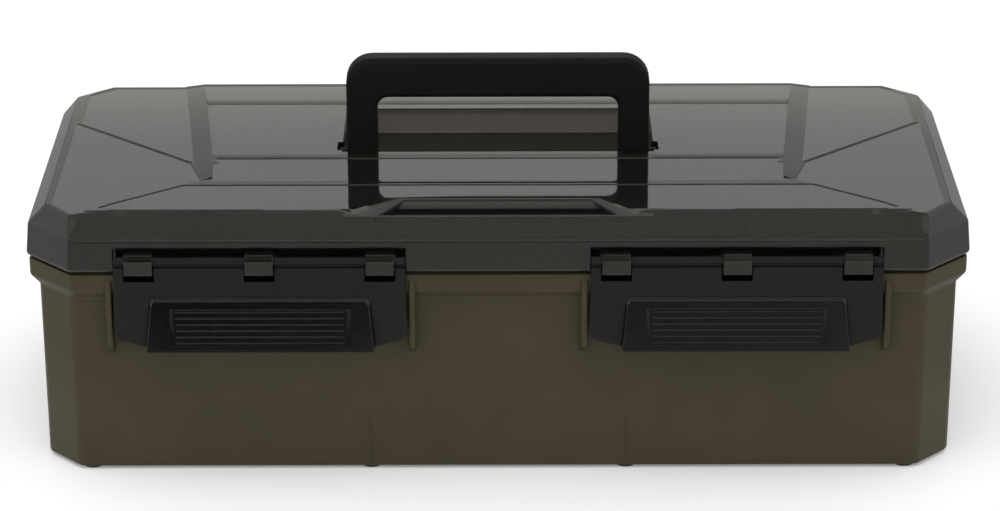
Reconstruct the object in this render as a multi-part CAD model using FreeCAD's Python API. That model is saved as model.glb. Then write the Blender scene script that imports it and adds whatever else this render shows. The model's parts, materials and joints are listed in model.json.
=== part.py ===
"""Fishing tackle box: a moulded tub with a smoked clear lid, a folding handle and two front latches.

Millimetres, +Z up, -Y is the front with the latches, and the origin lies under the middle of
the box at the level of the feet. At rest the lid is shut, both latches are down and the handle
stands upright, as in the photograph.
"""
import FreeCAD, Part
import math
import os
from FreeCAD import Vector

# Overall plan of the lid's rim, which is the widest part of the box
lid_width = 400.0
lid_depth = 172.0
lid_corner_cut = 20.0

# Body tub
foot_exposed = 1.2
body_height = 91.5
body_wall = 3.0
body_floor = 3.0
body_draft = 0.4
body_corner_cut = 15.5
body_corner_radius = 6.0
flange_inset = 0.4
flange_height = 7.7
flange_reach = 4.0
flange_radius = 3.0

# Rubber seal in the top of the flange
seal_edge_land = 2.1
seal_groove_width = 3.0
seal_groove_depth = 2.0
seal_side_gap = 0.1
seal_proud = 0.4

# Feet, two rows of four
foot_radius = 4.6
foot_seat_depth = 1.3
foot_outer_inset = 20.6
foot_inner_share = 0.28
foot_row_inset = 6.1
foot_edge_radius = 0.5

# Guard ribs beside each latch
guard_thickness = 2.6
guard_gap = 0.6
guard_proud = 1.8
guard_top_drop = 2.2
guard_length = 35.0
guard_taper = 4.5

# Lid shell
lid_gap = 0.7
lid_lip = 1.4
lid_rim_height = 15.5
lid_rim_draft = 1.2
lid_wall = 2.4
lid_land_reach = 5.2
shoulder_setback = 4.6
shoulder_rise = 7.4
crown_setback = 7.0
crown_rise = 8.2
front_shoulder_setback = 8.9
front_crown_setback = 10.0
ridge_end_inset = 6.0
ridge_end_slant = 3.0
roof_rise = 5.6
roof_side_setback = 7.4
roof_front_setback = 10.6

# Raised fields on the lid's top, as rises above the top of the rim
front_field_rise = 8.5
strip_field_rise = 8.8
middle_field_rise = 9.2
back_field_rise = 9.7
side_field_rise = 8.7
ridge_rise = 9.0
ridge_top_width = 1.6
ridge_back_width = 3.0

# Lines that part the fields: an inset is measured from the lid's side or front edge, the gap from the
# handle's recess, and a plain y from the middle of the lid
back_line_gap = 5.4
strip_back_y = 12.2
strip_front_inset = 42.8
step_run = 4.4
ramp_back_outer_inset = 56.6
ramp_back_inner_inset = 65.2
ramp_front_outer_inset = 66.4
ramp_front_inner_inset = 76.6
ramp_outer_end_inset = 39.4
ramp_inner_end_inset = 51.0
side_line_outer_inset = 12.0
side_line_outer_y = 27.5
side_line_inner_y = 20.8
corner_line_side_inset = 34.5
corner_line_front_inset = 16.5

# Finger notch in the middle of the lid's front edge
notch_back_half = 43.0
notch_front_half = 65.0
notch_back_inset = 27.5
notch_face_run = 3.0
notch_side_run = 3.5
notch_floor_rise = 7.1
pocket_floor_rise = 3.4
pocket_back_half = 39.0
pocket_front_half = 58.0
pocket_front_gap = 9.2
pocket_slope = 5.5

# Recess that takes the folded handle
recess_side_gap = 1.8
recess_front_y = 6.6
recess_back_gap = 1.1
recess_floor_gap = 0.6
pivot_notch_depth = 2.6
pivot_notch_half = 5.1
pivot_boss_radius = 4.5
pivot_boss_length = 4.0

# Folding handle
handle_half_width = 66.2
handle_leg_width = 13.5
handle_bar_height = 17.0
handle_thickness = 12.0
handle_reach = 48.1
handle_outer_radius = 11.5
handle_inner_radius = 5.0
handle_bevel = 2.2
handle_disc_radius = 4.7
handle_disc_gap = 0.6

# Handle pins
handle_pin_radius = 2.0
handle_pin_depth = 10.0
handle_pin_gap = 0.06
handle_pin_end_gap = 0.6
handle_pin_inset = 1.0

# Latches, two alike
latch_middle_gap = 39.0
latch_corner_gap = 18.6
latch_plate_thickness = 2.6
latch_plate_gap = 0.8
latch_bar_radius = 1.65
latch_bar_rise = 6.5
latch_bar_forward = 1.2
latch_neck_drop = 2.6
latch_neck_thickness = 1.3
latch_length = 39.3
latch_side_length = 33.5
latch_corner_run = 2.5
latch_corner_drop = 2.4
latch_tail_inset = 14.2
window_depth = 11.4
window_side_gap = 0.5

# Lid hooks that carry each latch
hook_half_width = 6.0
hook_end_inset = 10.6
hook_fit_gap = 0.08
hook_thickness = 1.5
hook_tongue_drop = 6.8
latch_pocket_height = 11.4
latch_pocket_depth = 4.2
latch_pocket_wall = 2.4
latch_pocket_side_gap = 0.5
latch_pocket_roof = 2.2

# Catch under the body's flange and the lip on the plate's back
catch_half_width = 26.0
catch_drop = 15.5
catch_height = 8.0
catch_reach = 0.4
lip_half_width = 24.0
lip_gap = 0.3
lip_height = 2.2
lip_reach = 2.2

# Grip pads on the latches
pad_top_drop = 13.2
pad_top_inset = 15.1
pad_bottom_inset = 13.3
pad_height = 23.0
pad_front_inset = 2.0
pad_top_thickness = 1.3
pad_bottom_thickness = 6.0
pad_top_bevel = 1.4
pad_corner = 2.6
pad_tail = 1.0

# Rear hinges, two alike
hinge_side_inset = 95.0
hinge_barrel_radius = 4.0
hinge_barrel_gap = 1.0
hinge_outer_knuckle = 12.0
hinge_middle_knuckle = 22.0
hinge_knuckle_gap = 0.4
hinge_pin_radius = 1.5
hinge_pin_gap = 0.05
hinge_pin_inset = 0.6
hinge_web_drop = 6.5
hinge_web_root = 1.4
hinge_web_clear = 0.35

# Divider panels in the tub, four alike, and the channels that hold them
divider_pitch_share = 0.19
divider_count = 4
divider_thickness = 2.0
divider_height = 76.0
divider_gap = 0.3
divider_corner = 4.0
channel_reach = 3.0
channel_rib = 2.0
channel_top_gap = 2.0

# Plain working values
overrun = 1.0
merge_depth = 0.5
match_slack = 0.01

# Levels worked out from the sizes above
body_base_z = foot_exposed
flange_top_z = body_base_z + body_height
flange_foot_z = flange_top_z - flange_height
wall_top_z = flange_foot_z - flange_reach
lid_base_z = flange_top_z + lid_gap
rim_top_z = lid_base_z + lid_rim_height
lid_plane_z = rim_top_z + middle_field_rise
flange_half_x = lid_width / 2 - flange_inset
flange_half_y = lid_depth / 2 - flange_inset
wall_half_x = flange_half_x - flange_reach
wall_half_y = flange_half_y - flange_reach
foot_outer_x = wall_half_x - foot_outer_inset
foot_inner_x = wall_half_x * foot_inner_share
foot_row_y = wall_half_y - foot_row_inset
handle_axis_z = lid_plane_z - handle_thickness / 2
recess_half_width = handle_half_width + recess_side_gap
recess_floor_z = handle_axis_z - handle_thickness / 2 - recess_floor_gap
recess_back_y = handle_reach + recess_back_gap
back_line_y = recess_back_y + back_line_gap
strip_front_y = lid_depth / 2 - strip_front_inset
ramp_back_outer_x = lid_width / 2 - ramp_back_outer_inset
ramp_back_inner_x = lid_width / 2 - ramp_back_inner_inset
ramp_front_outer_x = lid_width / 2 - ramp_front_outer_inset
ramp_front_inner_x = lid_width / 2 - ramp_front_inner_inset
ramp_outer_end_y = lid_depth / 2 - ramp_outer_end_inset
ramp_inner_end_y = lid_depth / 2 - ramp_inner_end_inset
side_line_outer_x = lid_width / 2 - side_line_outer_inset
corner_line_x = lid_width / 2 - corner_line_side_inset
corner_line_y = lid_depth / 2 - corner_line_front_inset
notch_back_y = lid_depth / 2 - notch_back_inset
latch_span = lid_width / 2 - lid_corner_cut - latch_corner_gap - latch_middle_gap
latch_half_width = latch_span / 2
latch_centre_x = latch_middle_gap + latch_half_width
latch_tail_half = latch_half_width - latch_tail_inset
hook_spacing = latch_half_width - hook_end_inset
pad_top_half = latch_half_width - pad_top_inset
pad_bottom_half = latch_half_width - pad_bottom_inset
latch_bar_z = lid_base_z + latch_bar_rise
latch_bar_y = -lid_depth / 2 - latch_bar_forward
plate_back_y = -flange_half_y - latch_plate_gap
plate_front_y = plate_back_y - latch_plate_thickness
plate_top_z = latch_bar_z - latch_neck_drop
hinge_centre_x = lid_width / 2 - hinge_side_inset
divider_pitch = lid_width * divider_pitch_share
hinge_axis_y = lid_depth / 2 + hinge_barrel_gap + hinge_barrel_radius
hinge_axis_z = flange_top_z + lid_gap / 2

# A corner cut grows or shrinks by this share of the amount an eight-sided outline is drawn in
corner_share = 2 - math.sqrt(2)


def inset_cut(cut, amount):
    """Corner cut of an eight-sided outline after all its sides move inwards by an amount."""
    return cut - corner_share * amount


def octagon(half_x, half_y, cut):
    """Corner points of a rectangle with its four corners cut off."""
    quarter = [(half_x, -half_y + cut), (half_x, half_y - cut)]
    right = [(half_x - cut, -half_y)] + quarter + [(half_x - cut, half_y)]
    left = [(-x, y) for x, y in reversed(right)]
    return right + left


def inset_octagon(half_x, half_y, cut, amount):
    """Corner points of the cut rectangle after its sides move inwards by an amount."""
    return octagon(half_x - amount, half_y - amount, inset_cut(cut, amount))


def lid_outline(side_in, front_in, ridge_end_x):
    """Ten points round the lid: a cut rectangle whose front side is set back by its own amount."""
    half_x = lid_width / 2 - side_in
    half_y = lid_depth / 2 - side_in
    cut = inset_cut(lid_corner_cut, side_in)
    right = [(ridge_end_x, -lid_depth / 2 + front_in),
             (half_x - cut, -half_y),
             (half_x, -half_y + cut),
             (half_x, half_y - cut),
             (half_x - cut, half_y)]
    left = [(-x, y) for x, y in reversed(right)]
    return right + left


def outline_wire(points, z, radius=0):
    """Closed wire through the points at one level, with each corner rounded by the radius."""
    corners = [Vector(x, y, z) for x, y in points]
    if radius == 0:
        return Part.makePolygon(corners + [corners[0]])
    count = len(corners)
    rounds = []
    for index, corner in enumerate(corners):
        to_last = (corners[index - 1] - corner).normalize()
        to_next = (corners[(index + 1) % count] - corner).normalize()
        half_angle = to_last.getAngle(to_next) / 2
        reach = radius / math.tan(half_angle)
        middle = (to_last + to_next).normalize()
        centre = corner + middle * (radius / math.sin(half_angle))
        rounds.append((corner + to_last * reach, centre - middle * radius, corner + to_next * reach))
    edges = []
    for index, (start, middle, end) in enumerate(rounds):
        edges.append(Part.Arc(start, middle, end).toShape())
        edges.append(Part.makeLine(end, rounds[(index + 1) % count][0]))
    return Part.Wire(edges)


def tapered_block(low_points, low_z, high_points, high_z, radius=0):
    """Solid between two level outlines that have the same number of corners."""
    low = outline_wire(low_points, low_z, radius)
    high = outline_wire(high_points, high_z, radius)
    return Part.makeLoft([low, high], True, True)


def upright_block(points, low_z, high_z, radius=0):
    """Solid with one outline from its foot to its top."""
    face = Part.Face(outline_wire(points, low_z, radius))
    return face.extrude(Vector(0, 0, high_z - low_z))


def box(x_from, x_to, y_from, y_to, z_from, z_to):
    """Box between two opposite corners."""
    corner = Vector(x_from, y_from, z_from)
    return Part.makeBox(x_to - x_from, y_to - y_from, z_to - z_from, corner)


def side_profile_block(profile, x_from, x_to):
    """Solid whose outline in Y and Z runs along X."""
    corners = [Vector(x_from, y, z) for y, z in profile]
    face = Part.Face(Part.makePolygon(corners + [corners[0]]))
    return face.extrude(Vector(x_to - x_from, 0, 0))


def rod_along_x(radius, x_from, x_to, y, z):
    """Round rod along X."""
    return Part.makeCylinder(radius, x_to - x_from, Vector(x_from, y, z), Vector(1, 0, 0))


def joined(shapes):
    """One clean solid from overlapping solids."""
    first = shapes[0]
    return first.fuse(shapes[1:]).removeSplitter()


def mirrored(shape):
    """Copy of a shape on the other side of the middle plane."""
    return shape.mirror(Vector(0, 0, 0), Vector(1, 0, 0))


def body_outer():
    """Outside of the tub: a slightly tapered wall under an outward flange."""
    low = inset_octagon(wall_half_x, wall_half_y, body_corner_cut, body_draft)
    high = octagon(wall_half_x, wall_half_y, body_corner_cut)
    rim = octagon(flange_half_x, flange_half_y, lid_corner_cut)
    wall = tapered_block(low, body_base_z, high, wall_top_z, body_corner_radius)
    slope = tapered_block(high, wall_top_z, rim, flange_foot_z, flange_radius)
    flange = upright_block(rim, flange_foot_z, flange_top_z, flange_radius)
    return joined([wall, slope, flange])


def body_cavity():
    """Inside of the tub."""
    low = inset_octagon(wall_half_x, wall_half_y, body_corner_cut, body_draft + body_wall)
    high = inset_octagon(wall_half_x, wall_half_y, body_corner_cut, body_wall)
    radius = body_corner_radius - body_wall
    return tapered_block(low, body_base_z + body_floor, high, flange_top_z + overrun, radius)


def seal_ring(side_gap, low_z, high_z):
    """Ring that follows the flange, used for the groove and for the seal in it."""
    outer_in = seal_edge_land + side_gap
    inner_in = seal_edge_land + seal_groove_width - side_gap
    outer = inset_octagon(flange_half_x, flange_half_y, lid_corner_cut, outer_in)
    inner = inset_octagon(flange_half_x, flange_half_y, lid_corner_cut, inner_in)
    ring = upright_block(outer, low_z, high_z, flange_radius)
    return ring.cut(upright_block(inner, low_z - overrun, high_z + overrun, flange_radius))


def foot_places():
    """Names and plan positions of the eight feet."""
    columns = {"outer_left": -foot_outer_x, "inner_left": -foot_inner_x,
               "inner_right": foot_inner_x, "outer_right": foot_outer_x}
    rows = {"front": -foot_row_y, "rear": foot_row_y}
    return {f"foot_{row}_{column}": (x, y) for row, y in rows.items() for column, x in columns.items()}


def divider_places():
    """X positions of the divider panels, evenly pitched about the middle."""
    return [(index - (divider_count - 1) / 2) * divider_pitch for index in range(divider_count)]


def divider_channels():
    """Pairs of upright ribs on the front and rear inner walls, one pair of pairs for each divider."""
    low_z = body_base_z + body_floor - merge_depth
    high_z = body_base_z + body_floor + divider_height + divider_gap - channel_top_gap
    inner_y = wall_half_y - body_wall
    slot_half = divider_thickness / 2 + divider_gap
    ribs = []
    for place in divider_places():
        for side in (-1, 1):
            for wall in (-1, 1):
                x_near = place + side * slot_half
                x_far = place + side * (slot_half + channel_rib)
                y_near = wall * (inner_y - channel_reach)
                y_far = wall * (inner_y + merge_depth)
                ribs.append(box(min(x_near, x_far), max(x_near, x_far),
                                min(y_near, y_far), max(y_near, y_far), low_z, high_z))
    return ribs


def guard_ribs():
    """Upright ribs that stand on the front wall at both sides of each latch."""
    high_z = flange_top_z - guard_top_drop
    low_z = high_z - guard_length
    front_y = -flange_half_y - guard_proud
    inner_y = -wall_half_y + body_wall / 2
    profile = [(inner_y, low_z), (-wall_half_y, low_z), (front_y, low_z + guard_taper),
               (front_y, high_z - guard_proud), (-flange_half_y, high_z), (inner_y, high_z)]
    ribs = []
    for side in (-1, 1):
        x_from = latch_centre_x + side * (latch_half_width + guard_gap)
        x_to = x_from + side * guard_thickness
        rib = side_profile_block(profile, min(x_from, x_to), max(x_from, x_to))
        ribs.append(rib)
        ribs.append(mirrored(rib))
    return ribs


def latch_catches():
    """Ledges under the flange that the latch lips hook under."""
    low_z = flange_top_z - catch_drop
    catch = box(latch_centre_x - catch_half_width, latch_centre_x + catch_half_width,
                -flange_half_y + catch_reach, -wall_half_y + merge_depth,
                low_z, low_z + catch_height)
    return [catch, mirrored(catch)]


def hinge_knuckle(x_from, x_to, root_y, rises):
    """Barrel on the hinge axis with a web to the body below or to the lid above it."""
    barrel = rod_along_x(hinge_barrel_radius, x_from, x_to, hinge_axis_y, hinge_axis_z)
    up = 1 if rises else -1
    near_z = hinge_axis_z + up * hinge_web_clear
    profile = [(root_y, near_z), (root_y, near_z + up * hinge_web_drop),
               (hinge_axis_y, hinge_axis_z + up * hinge_barrel_radius), (hinge_axis_y, near_z)]
    return joined([barrel, side_profile_block(profile, x_from, x_to)])


def body_knuckles():
    """Outer knuckles of both rear hinges."""
    root_y = flange_half_y - hinge_web_root
    near = hinge_middle_knuckle / 2 + hinge_knuckle_gap
    knuckles = []
    for centre in (-hinge_centre_x, hinge_centre_x):
        for side in (-1, 1):
            x_near = centre + side * near
            x_far = x_near + side * hinge_outer_knuckle
            knuckles.append(hinge_knuckle(min(x_near, x_far), max(x_near, x_far), root_y, False))
    return knuckles


def hinge_pin(centre_x, radius):
    """Straight pin through the three knuckles of one hinge."""
    half = hinge_middle_knuckle / 2 + hinge_knuckle_gap + hinge_outer_knuckle - hinge_pin_inset
    return rod_along_x(radius, centre_x - half, centre_x + half, hinge_axis_y, hinge_axis_z)


def body_tub():
    """The moulded tub with its ribs, catches, seal groove, foot seats and hinge knuckles."""
    shell = body_outer().cut(body_cavity())
    shell = joined([shell] + divider_channels() + guard_ribs() + latch_catches() + body_knuckles())
    groove = seal_ring(0, flange_top_z - seal_groove_depth, flange_top_z + overrun)
    cuts = [groove]
    for x, y in foot_places().values():
        seat_top = body_base_z + foot_seat_depth
        cuts.append(Part.makeCylinder(foot_radius, seat_top, Vector(x, y, 0)))
    for centre in (-hinge_centre_x, hinge_centre_x):
        half = hinge_middle_knuckle / 2 + hinge_knuckle_gap + hinge_outer_knuckle + overrun
        cuts.append(rod_along_x(hinge_pin_radius, centre - half, centre + half,
                                hinge_axis_y, hinge_axis_z))
    return shell.cut(cuts)


def lid_seal():
    """Rubber ring seated in the flange's groove, standing a little proud of it."""
    return seal_ring(seal_side_gap, flange_top_z - seal_groove_depth, flange_top_z + seal_proud)


def foot(x, y):
    """Round rubber foot, pushed up into its seat in the floor."""
    height = foot_exposed + foot_seat_depth
    disc = Part.makeCylinder(foot_radius, height, Vector(x, y, 0))
    low_edges = [edge for edge in disc.Edges if edge.BoundBox.ZMax < foot_exposed / 2]
    return disc.makeFillet(foot_edge_radius, low_edges)


def divider(x):
    """Lift-out panel that stands in its channels across the tub."""
    low_z = body_base_z + body_floor
    high_z = low_z + divider_height
    reach = wall_half_y - body_wall - body_draft - divider_gap
    outline = [(-reach, low_z), (reach, low_z), (reach, high_z - divider_corner),
               (reach - divider_corner, high_z), (divider_corner - reach, high_z),
               (-reach, high_z - divider_corner)]
    return side_profile_block(outline, x - divider_thickness / 2, x + divider_thickness / 2)


def ridge_end(share):
    """X of the front ridge's end, which leans inwards from its foot (0) to its crest (1)."""
    foot_x = lid_width / 2 - lid_corner_cut - ridge_end_inset / 2
    return foot_x - ridge_end_slant * share


def lid_outer():
    """Outside of the lid: lip, rim, steep shoulder and a near-flat crown."""
    lip = lid_outline(lid_lip, lid_lip, ridge_end(0))
    rim_foot = lid_outline(0, 0, ridge_end(0))
    rim_top = lid_outline(lid_rim_draft, lid_rim_draft, ridge_end(0))
    shoulder = lid_outline(lid_rim_draft + shoulder_setback,
                           lid_rim_draft + front_shoulder_setback, ridge_end(1))
    crown = lid_outline(lid_rim_draft + crown_setback,
                        lid_rim_draft + front_crown_setback, ridge_end(1))
    lip_z = lid_base_z + lid_lip
    shoulder_z = rim_top_z + shoulder_rise
    crown_z = rim_top_z + crown_rise
    return joined([tapered_block(lip, lid_base_z, rim_foot, lip_z),
                   tapered_block(rim_foot, lip_z, rim_top, rim_top_z),
                   tapered_block(rim_top, rim_top_z, shoulder, shoulder_z),
                   tapered_block(shoulder, shoulder_z, crown, crown_z)])


def lid_ridge():
    """Ridge along the top of the sloped front face."""
    front_y = -lid_depth / 2 + lid_rim_draft + front_shoulder_setback
    crest_y = -lid_depth / 2 + lid_rim_draft + front_crown_setback
    low_z = rim_top_z + crown_rise / 2
    profile = [(front_y, low_z), (front_y, rim_top_z + shoulder_rise),
               (crest_y, rim_top_z + ridge_rise),
               (crest_y + ridge_top_width, rim_top_z + ridge_rise),
               (crest_y + ridge_top_width + ridge_back_width, rim_top_z + crown_rise),
               (crest_y + ridge_top_width + ridge_back_width, low_z)]
    return side_profile_block(profile, -ridge_end(1), ridge_end(1))


def lid_fields():
    """Shallow raised fields on the crown, with small steps and slopes between them."""
    low_z = rim_top_z + crown_rise / 2
    back_y = lid_depth / 2 - lid_rim_draft - crown_setback
    crest_y = -lid_depth / 2 + lid_rim_draft + front_crown_setback
    steps = [(back_y, low_z), (back_y, rim_top_z + back_field_rise),
             (back_line_y, rim_top_z + back_field_rise), (back_line_y, rim_top_z + middle_field_rise),
             (-strip_back_y, rim_top_z + middle_field_rise),
             (-strip_back_y - step_run, rim_top_z + strip_field_rise),
             (-strip_front_y, rim_top_z + strip_field_rise),
             (-strip_front_y - step_run, rim_top_z + front_field_rise),
             (-ramp_outer_end_y - step_run, low_z)]
    plateau = side_profile_block(steps, -lid_width / 2, lid_width / 2)
    foot_right = [(ramp_front_outer_x, -ramp_outer_end_y - step_run),
                  (ramp_front_outer_x, -side_line_inner_y), (ramp_back_outer_x, back_y)]
    top_right = [(ramp_front_inner_x, -ramp_outer_end_y - step_run),
                 (ramp_front_inner_x, -ramp_inner_end_y), (ramp_back_inner_x, back_y)]
    foot_points = foot_right + [(-x, y) for x, y in reversed(foot_right)]
    top_points = top_right + [(-x, y) for x, y in reversed(top_right)]
    limit_foot = tapered_block(foot_points, rim_top_z + crown_rise, top_points,
                               rim_top_z + back_field_rise)
    limit_base = upright_block(foot_points, low_z, rim_top_z + crown_rise)
    plateau = plateau.common(joined([limit_foot, limit_base]))
    front_right = [(ridge_end(1), crest_y), (corner_line_x, -corner_line_y),
                   (ramp_front_outer_x, -ramp_outer_end_y)]
    front_points = front_right + [(-x, y) for x, y in reversed(front_right)]
    front = upright_block(front_points, low_z, rim_top_z + front_field_rise)
    edge_in = lid_rim_draft + crown_setback
    cut = inset_cut(lid_corner_cut, edge_in)
    edge_x = lid_width / 2 - edge_in
    side_points = [(side_line_outer_x, side_line_outer_y), (edge_x, back_y - cut),
                   (edge_x - cut, back_y), (ramp_back_outer_x - overrun, back_y),
                   (ramp_front_outer_x - overrun, -side_line_inner_y)]
    side = upright_block(side_points, low_z, rim_top_z + side_field_rise)
    return [plateau, front, side, mirrored(side)]


def trapezoid(back_half, back_y, front_half, front_y):
    """Corner points of a plan that widens towards the front."""
    return [(-front_half, -front_y), (front_half, -front_y), (back_half, -back_y), (-back_half, -back_y)]


def notch_cuts():
    """Wide shallow notch across the front ridge and the deeper finger pocket behind it."""
    high_z = rim_top_z + back_field_rise
    floor_z = rim_top_z + notch_floor_rise
    front_y = lid_depth / 2 + overrun
    low = trapezoid(notch_back_half - notch_side_run, notch_back_y + notch_face_run,
                    notch_front_half - notch_side_run, front_y)
    high = trapezoid(notch_back_half, notch_back_y, notch_front_half, front_y)
    notch = tapered_block(low, floor_z, high, high_z)
    pocket_front_y = lid_depth / 2 - pocket_front_gap
    pocket_back_y = notch_back_y + notch_face_run + merge_depth
    top = trapezoid(pocket_back_half, pocket_back_y, pocket_front_half, pocket_front_y)
    foot_outline = trapezoid(pocket_back_half - notch_side_run, pocket_back_y + pocket_slope,
                             pocket_front_half - notch_side_run, pocket_front_y)
    pocket = tapered_block(foot_outline, rim_top_z + pocket_floor_rise, top, floor_z)
    return [notch, pocket]


def recess_cuts():
    """Well for the folded handle, with a side notch for the disc on each leg."""
    high_z = lid_plane_z + overrun
    well = box(-recess_half_width, recess_half_width, -recess_front_y, recess_back_y,
               recess_floor_z, high_z)
    notch_half = recess_half_width + pivot_notch_depth
    notches = box(-notch_half, notch_half, -pivot_notch_half, pivot_notch_half,
                  recess_floor_z, high_z)
    return [well, notches]


def lid_inner_blocks():
    """Material that stays inside the lid: round the handle's well, the notch and the latch pockets."""
    high_z = rim_top_z + crown_rise
    well_half = recess_half_width + pivot_notch_depth + lid_wall
    well = box(-well_half, well_half, -recess_front_y - lid_wall, recess_back_y + lid_wall,
               recess_floor_z - lid_wall, high_z)
    boss_x = well_half + pivot_boss_length
    boss = rod_along_x(pivot_boss_radius, -boss_x, boss_x, 0, handle_axis_z)
    front_y = -lid_depth / 2 + lid_wall / 2
    notch = box(-pocket_front_half, pocket_front_half, front_y, -notch_back_y + lid_wall,
                rim_top_z + pocket_floor_rise - lid_wall, high_z)
    back_y = -lid_depth / 2 + latch_pocket_depth
    pocket_half = latch_half_width + latch_pocket_side_gap + latch_pocket_wall
    pocket = box(latch_centre_x - pocket_half, latch_centre_x + pocket_half, front_y,
                 back_y + latch_pocket_wall, lid_base_z - overrun,
                 lid_base_z + latch_pocket_height + latch_pocket_roof)
    return [well, boss, notch, pocket, mirrored(pocket)]


def lid_cavity():
    """Inside of the lid, less the blocks that stay."""
    wall_in = lid_wall
    top_in = lid_rim_draft + lid_wall
    low = lid_outline(wall_in, wall_in, ridge_end(0))
    rim = lid_outline(top_in, top_in, ridge_end(0))
    roof = lid_outline(lid_rim_draft + roof_side_setback, lid_rim_draft + roof_front_setback,
                       ridge_end(1))
    cavity = joined([tapered_block(low, lid_base_z - overrun, rim, rim_top_z),
                     tapered_block(rim, rim_top_z, roof, rim_top_z + roof_rise)])
    land_outer = inset_octagon(lid_width / 2, lid_depth / 2, lid_corner_cut, lid_wall / 2)
    land_inner = inset_octagon(lid_width / 2, lid_depth / 2, lid_corner_cut,
                               lid_wall + lid_land_reach)
    land = upright_block(land_outer, lid_base_z - overrun, lid_base_z + lid_wall)
    land = land.cut(upright_block(land_inner, lid_base_z - 2 * overrun, lid_base_z + 2 * lid_wall))
    return cavity.cut([land] + lid_inner_blocks())


def latch_hook(centre_x):
    """Hook that reaches out of the lid's pocket, over the latch bar and down in front of it."""
    inner = latch_bar_radius + hook_fit_gap
    outer = inner + hook_thickness
    x_from = centre_x - hook_half_width
    x_to = centre_x + hook_half_width
    root_y = -lid_depth / 2 + latch_pocket_depth + merge_depth
    ring = rod_along_x(outer, x_from, x_to, latch_bar_y, latch_bar_z)
    arm = box(x_from, x_to, latch_bar_y, root_y, latch_bar_z, latch_bar_z + outer)
    tongue = box(x_from, x_to, latch_bar_y - outer, latch_bar_y,
                 latch_bar_z - hook_tongue_drop, latch_bar_z)
    hook = joined([ring, arm, tongue])
    bore = rod_along_x(inner, x_from - overrun, x_to + overrun, latch_bar_y, latch_bar_z)
    below = box(x_from - overrun, x_to + overrun, latch_bar_y - inner, root_y + overrun,
                latch_bar_z - hook_tongue_drop - overrun, latch_bar_z)
    behind = box(x_from - overrun, x_to + overrun, latch_bar_y, root_y + overrun,
                 latch_bar_z - overrun, latch_bar_z + inner)
    return hook.cut([bore, below, behind])


def lid_knuckles():
    """Middle knuckles of both rear hinges."""
    root_y = lid_depth / 2 - lid_wall / 2 - lid_rim_draft / 2
    half = hinge_middle_knuckle / 2
    return [hinge_knuckle(centre - half, centre + half, root_y, True)
            for centre in (-hinge_centre_x, hinge_centre_x)]


def lid_shell():
    """The smoked clear lid in one moulding."""
    lid = joined([lid_outer(), lid_ridge()] + lid_fields())
    lid = lid.cut(lid_cavity())
    pocket_half = latch_half_width + latch_pocket_side_gap
    pocket = box(latch_centre_x - pocket_half, latch_centre_x + pocket_half,
                 -lid_depth / 2 - overrun, -lid_depth / 2 + latch_pocket_depth,
                 lid_base_z - overrun, lid_base_z + latch_pocket_height)
    pin_half = recess_half_width + pivot_notch_depth + lid_wall + pivot_boss_length
    pin_bore = rod_along_x(handle_pin_radius, -pin_half + handle_pin_inset,
                           pin_half - handle_pin_inset, 0, handle_axis_z)
    lid = lid.cut([pocket, mirrored(pocket), pin_bore] + notch_cuts() + recess_cuts())
    hooks = []
    for centre in (-latch_centre_x, latch_centre_x):
        for step in (-1, 0, 1):
            hooks.append(latch_hook(centre + step * hook_spacing))
    lid = joined([lid] + hooks + lid_knuckles())
    bores = [rod_along_x(hinge_pin_radius + hinge_pin_gap, centre - hinge_middle_knuckle,
                         centre + hinge_middle_knuckle, hinge_axis_y, hinge_axis_z)
             for centre in (-hinge_centre_x, hinge_centre_x)]
    return lid.cut(bores)


def handle():
    """U-shaped handle standing upright, with a disc outside each leg that fills the side notch."""
    top_z = handle_axis_z + handle_reach
    half_y = handle_thickness / 2
    inner_half = handle_half_width - handle_leg_width
    inner_top = top_z - handle_bar_height
    outer = arch_face(handle_half_width, top_z, handle_outer_radius)
    inner = arch_face(inner_half, inner_top, handle_inner_radius)
    bail = outer.cut(inner).extrude(Vector(0, handle_thickness, 0))
    edges = [edge for edge in bail.Edges
             if abs(abs(edge.CenterOfMass.y) - half_y) < match_slack
             and edge.BoundBox.ZMax > handle_axis_z + handle_bevel]
    bail = bail.makeChamfer(handle_bevel, edges)
    ends = []
    bores = []
    disc_x = recess_half_width + pivot_notch_depth - handle_disc_gap
    for side in (-1, 1):
        near = side * inner_half
        far = side * handle_half_width
        tip = side * disc_x
        ends.append(rod_along_x(half_y, min(near, far), max(near, far), 0, handle_axis_z))
        ends.append(rod_along_x(handle_disc_radius, min(far, tip), max(far, tip), 0, handle_axis_z))
        deep = side * (handle_half_width - handle_pin_depth - handle_pin_end_gap)
        out = side * (disc_x + overrun)
        bores.append(rod_along_x(handle_pin_radius + handle_pin_gap, min(deep, out), max(deep, out),
                                 0, handle_axis_z))
    return joined([bail] + ends).cut(bores)


def arch_face(half_width, top_z, radius):
    """Upright face with a round-cornered top, standing on the handle's axis level."""
    y = -handle_thickness / 2
    low_z = handle_axis_z
    bend = radius * (1 - math.sqrt(1 / 2))
    left_low = Vector(-half_width, y, low_z)
    left_high = Vector(-half_width, y, top_z - radius)
    left_bend = Vector(-half_width + bend, y, top_z - bend)
    left_top = Vector(-half_width + radius, y, top_z)
    right_low = Vector(half_width, y, low_z)
    right_high = Vector(half_width, y, top_z - radius)
    right_bend = Vector(half_width - bend, y, top_z - bend)
    right_top = Vector(half_width - radius, y, top_z)
    edges = [Part.makeLine(left_low, left_high),
             Part.Arc(left_high, left_bend, left_top).toShape(),
             Part.makeLine(left_top, right_top),
             Part.Arc(right_top, right_bend, right_high).toShape(),
             Part.makeLine(right_high, right_low),
             Part.makeLine(right_low, left_low)]
    return Part.Face(Part.Wire(edges))


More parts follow.
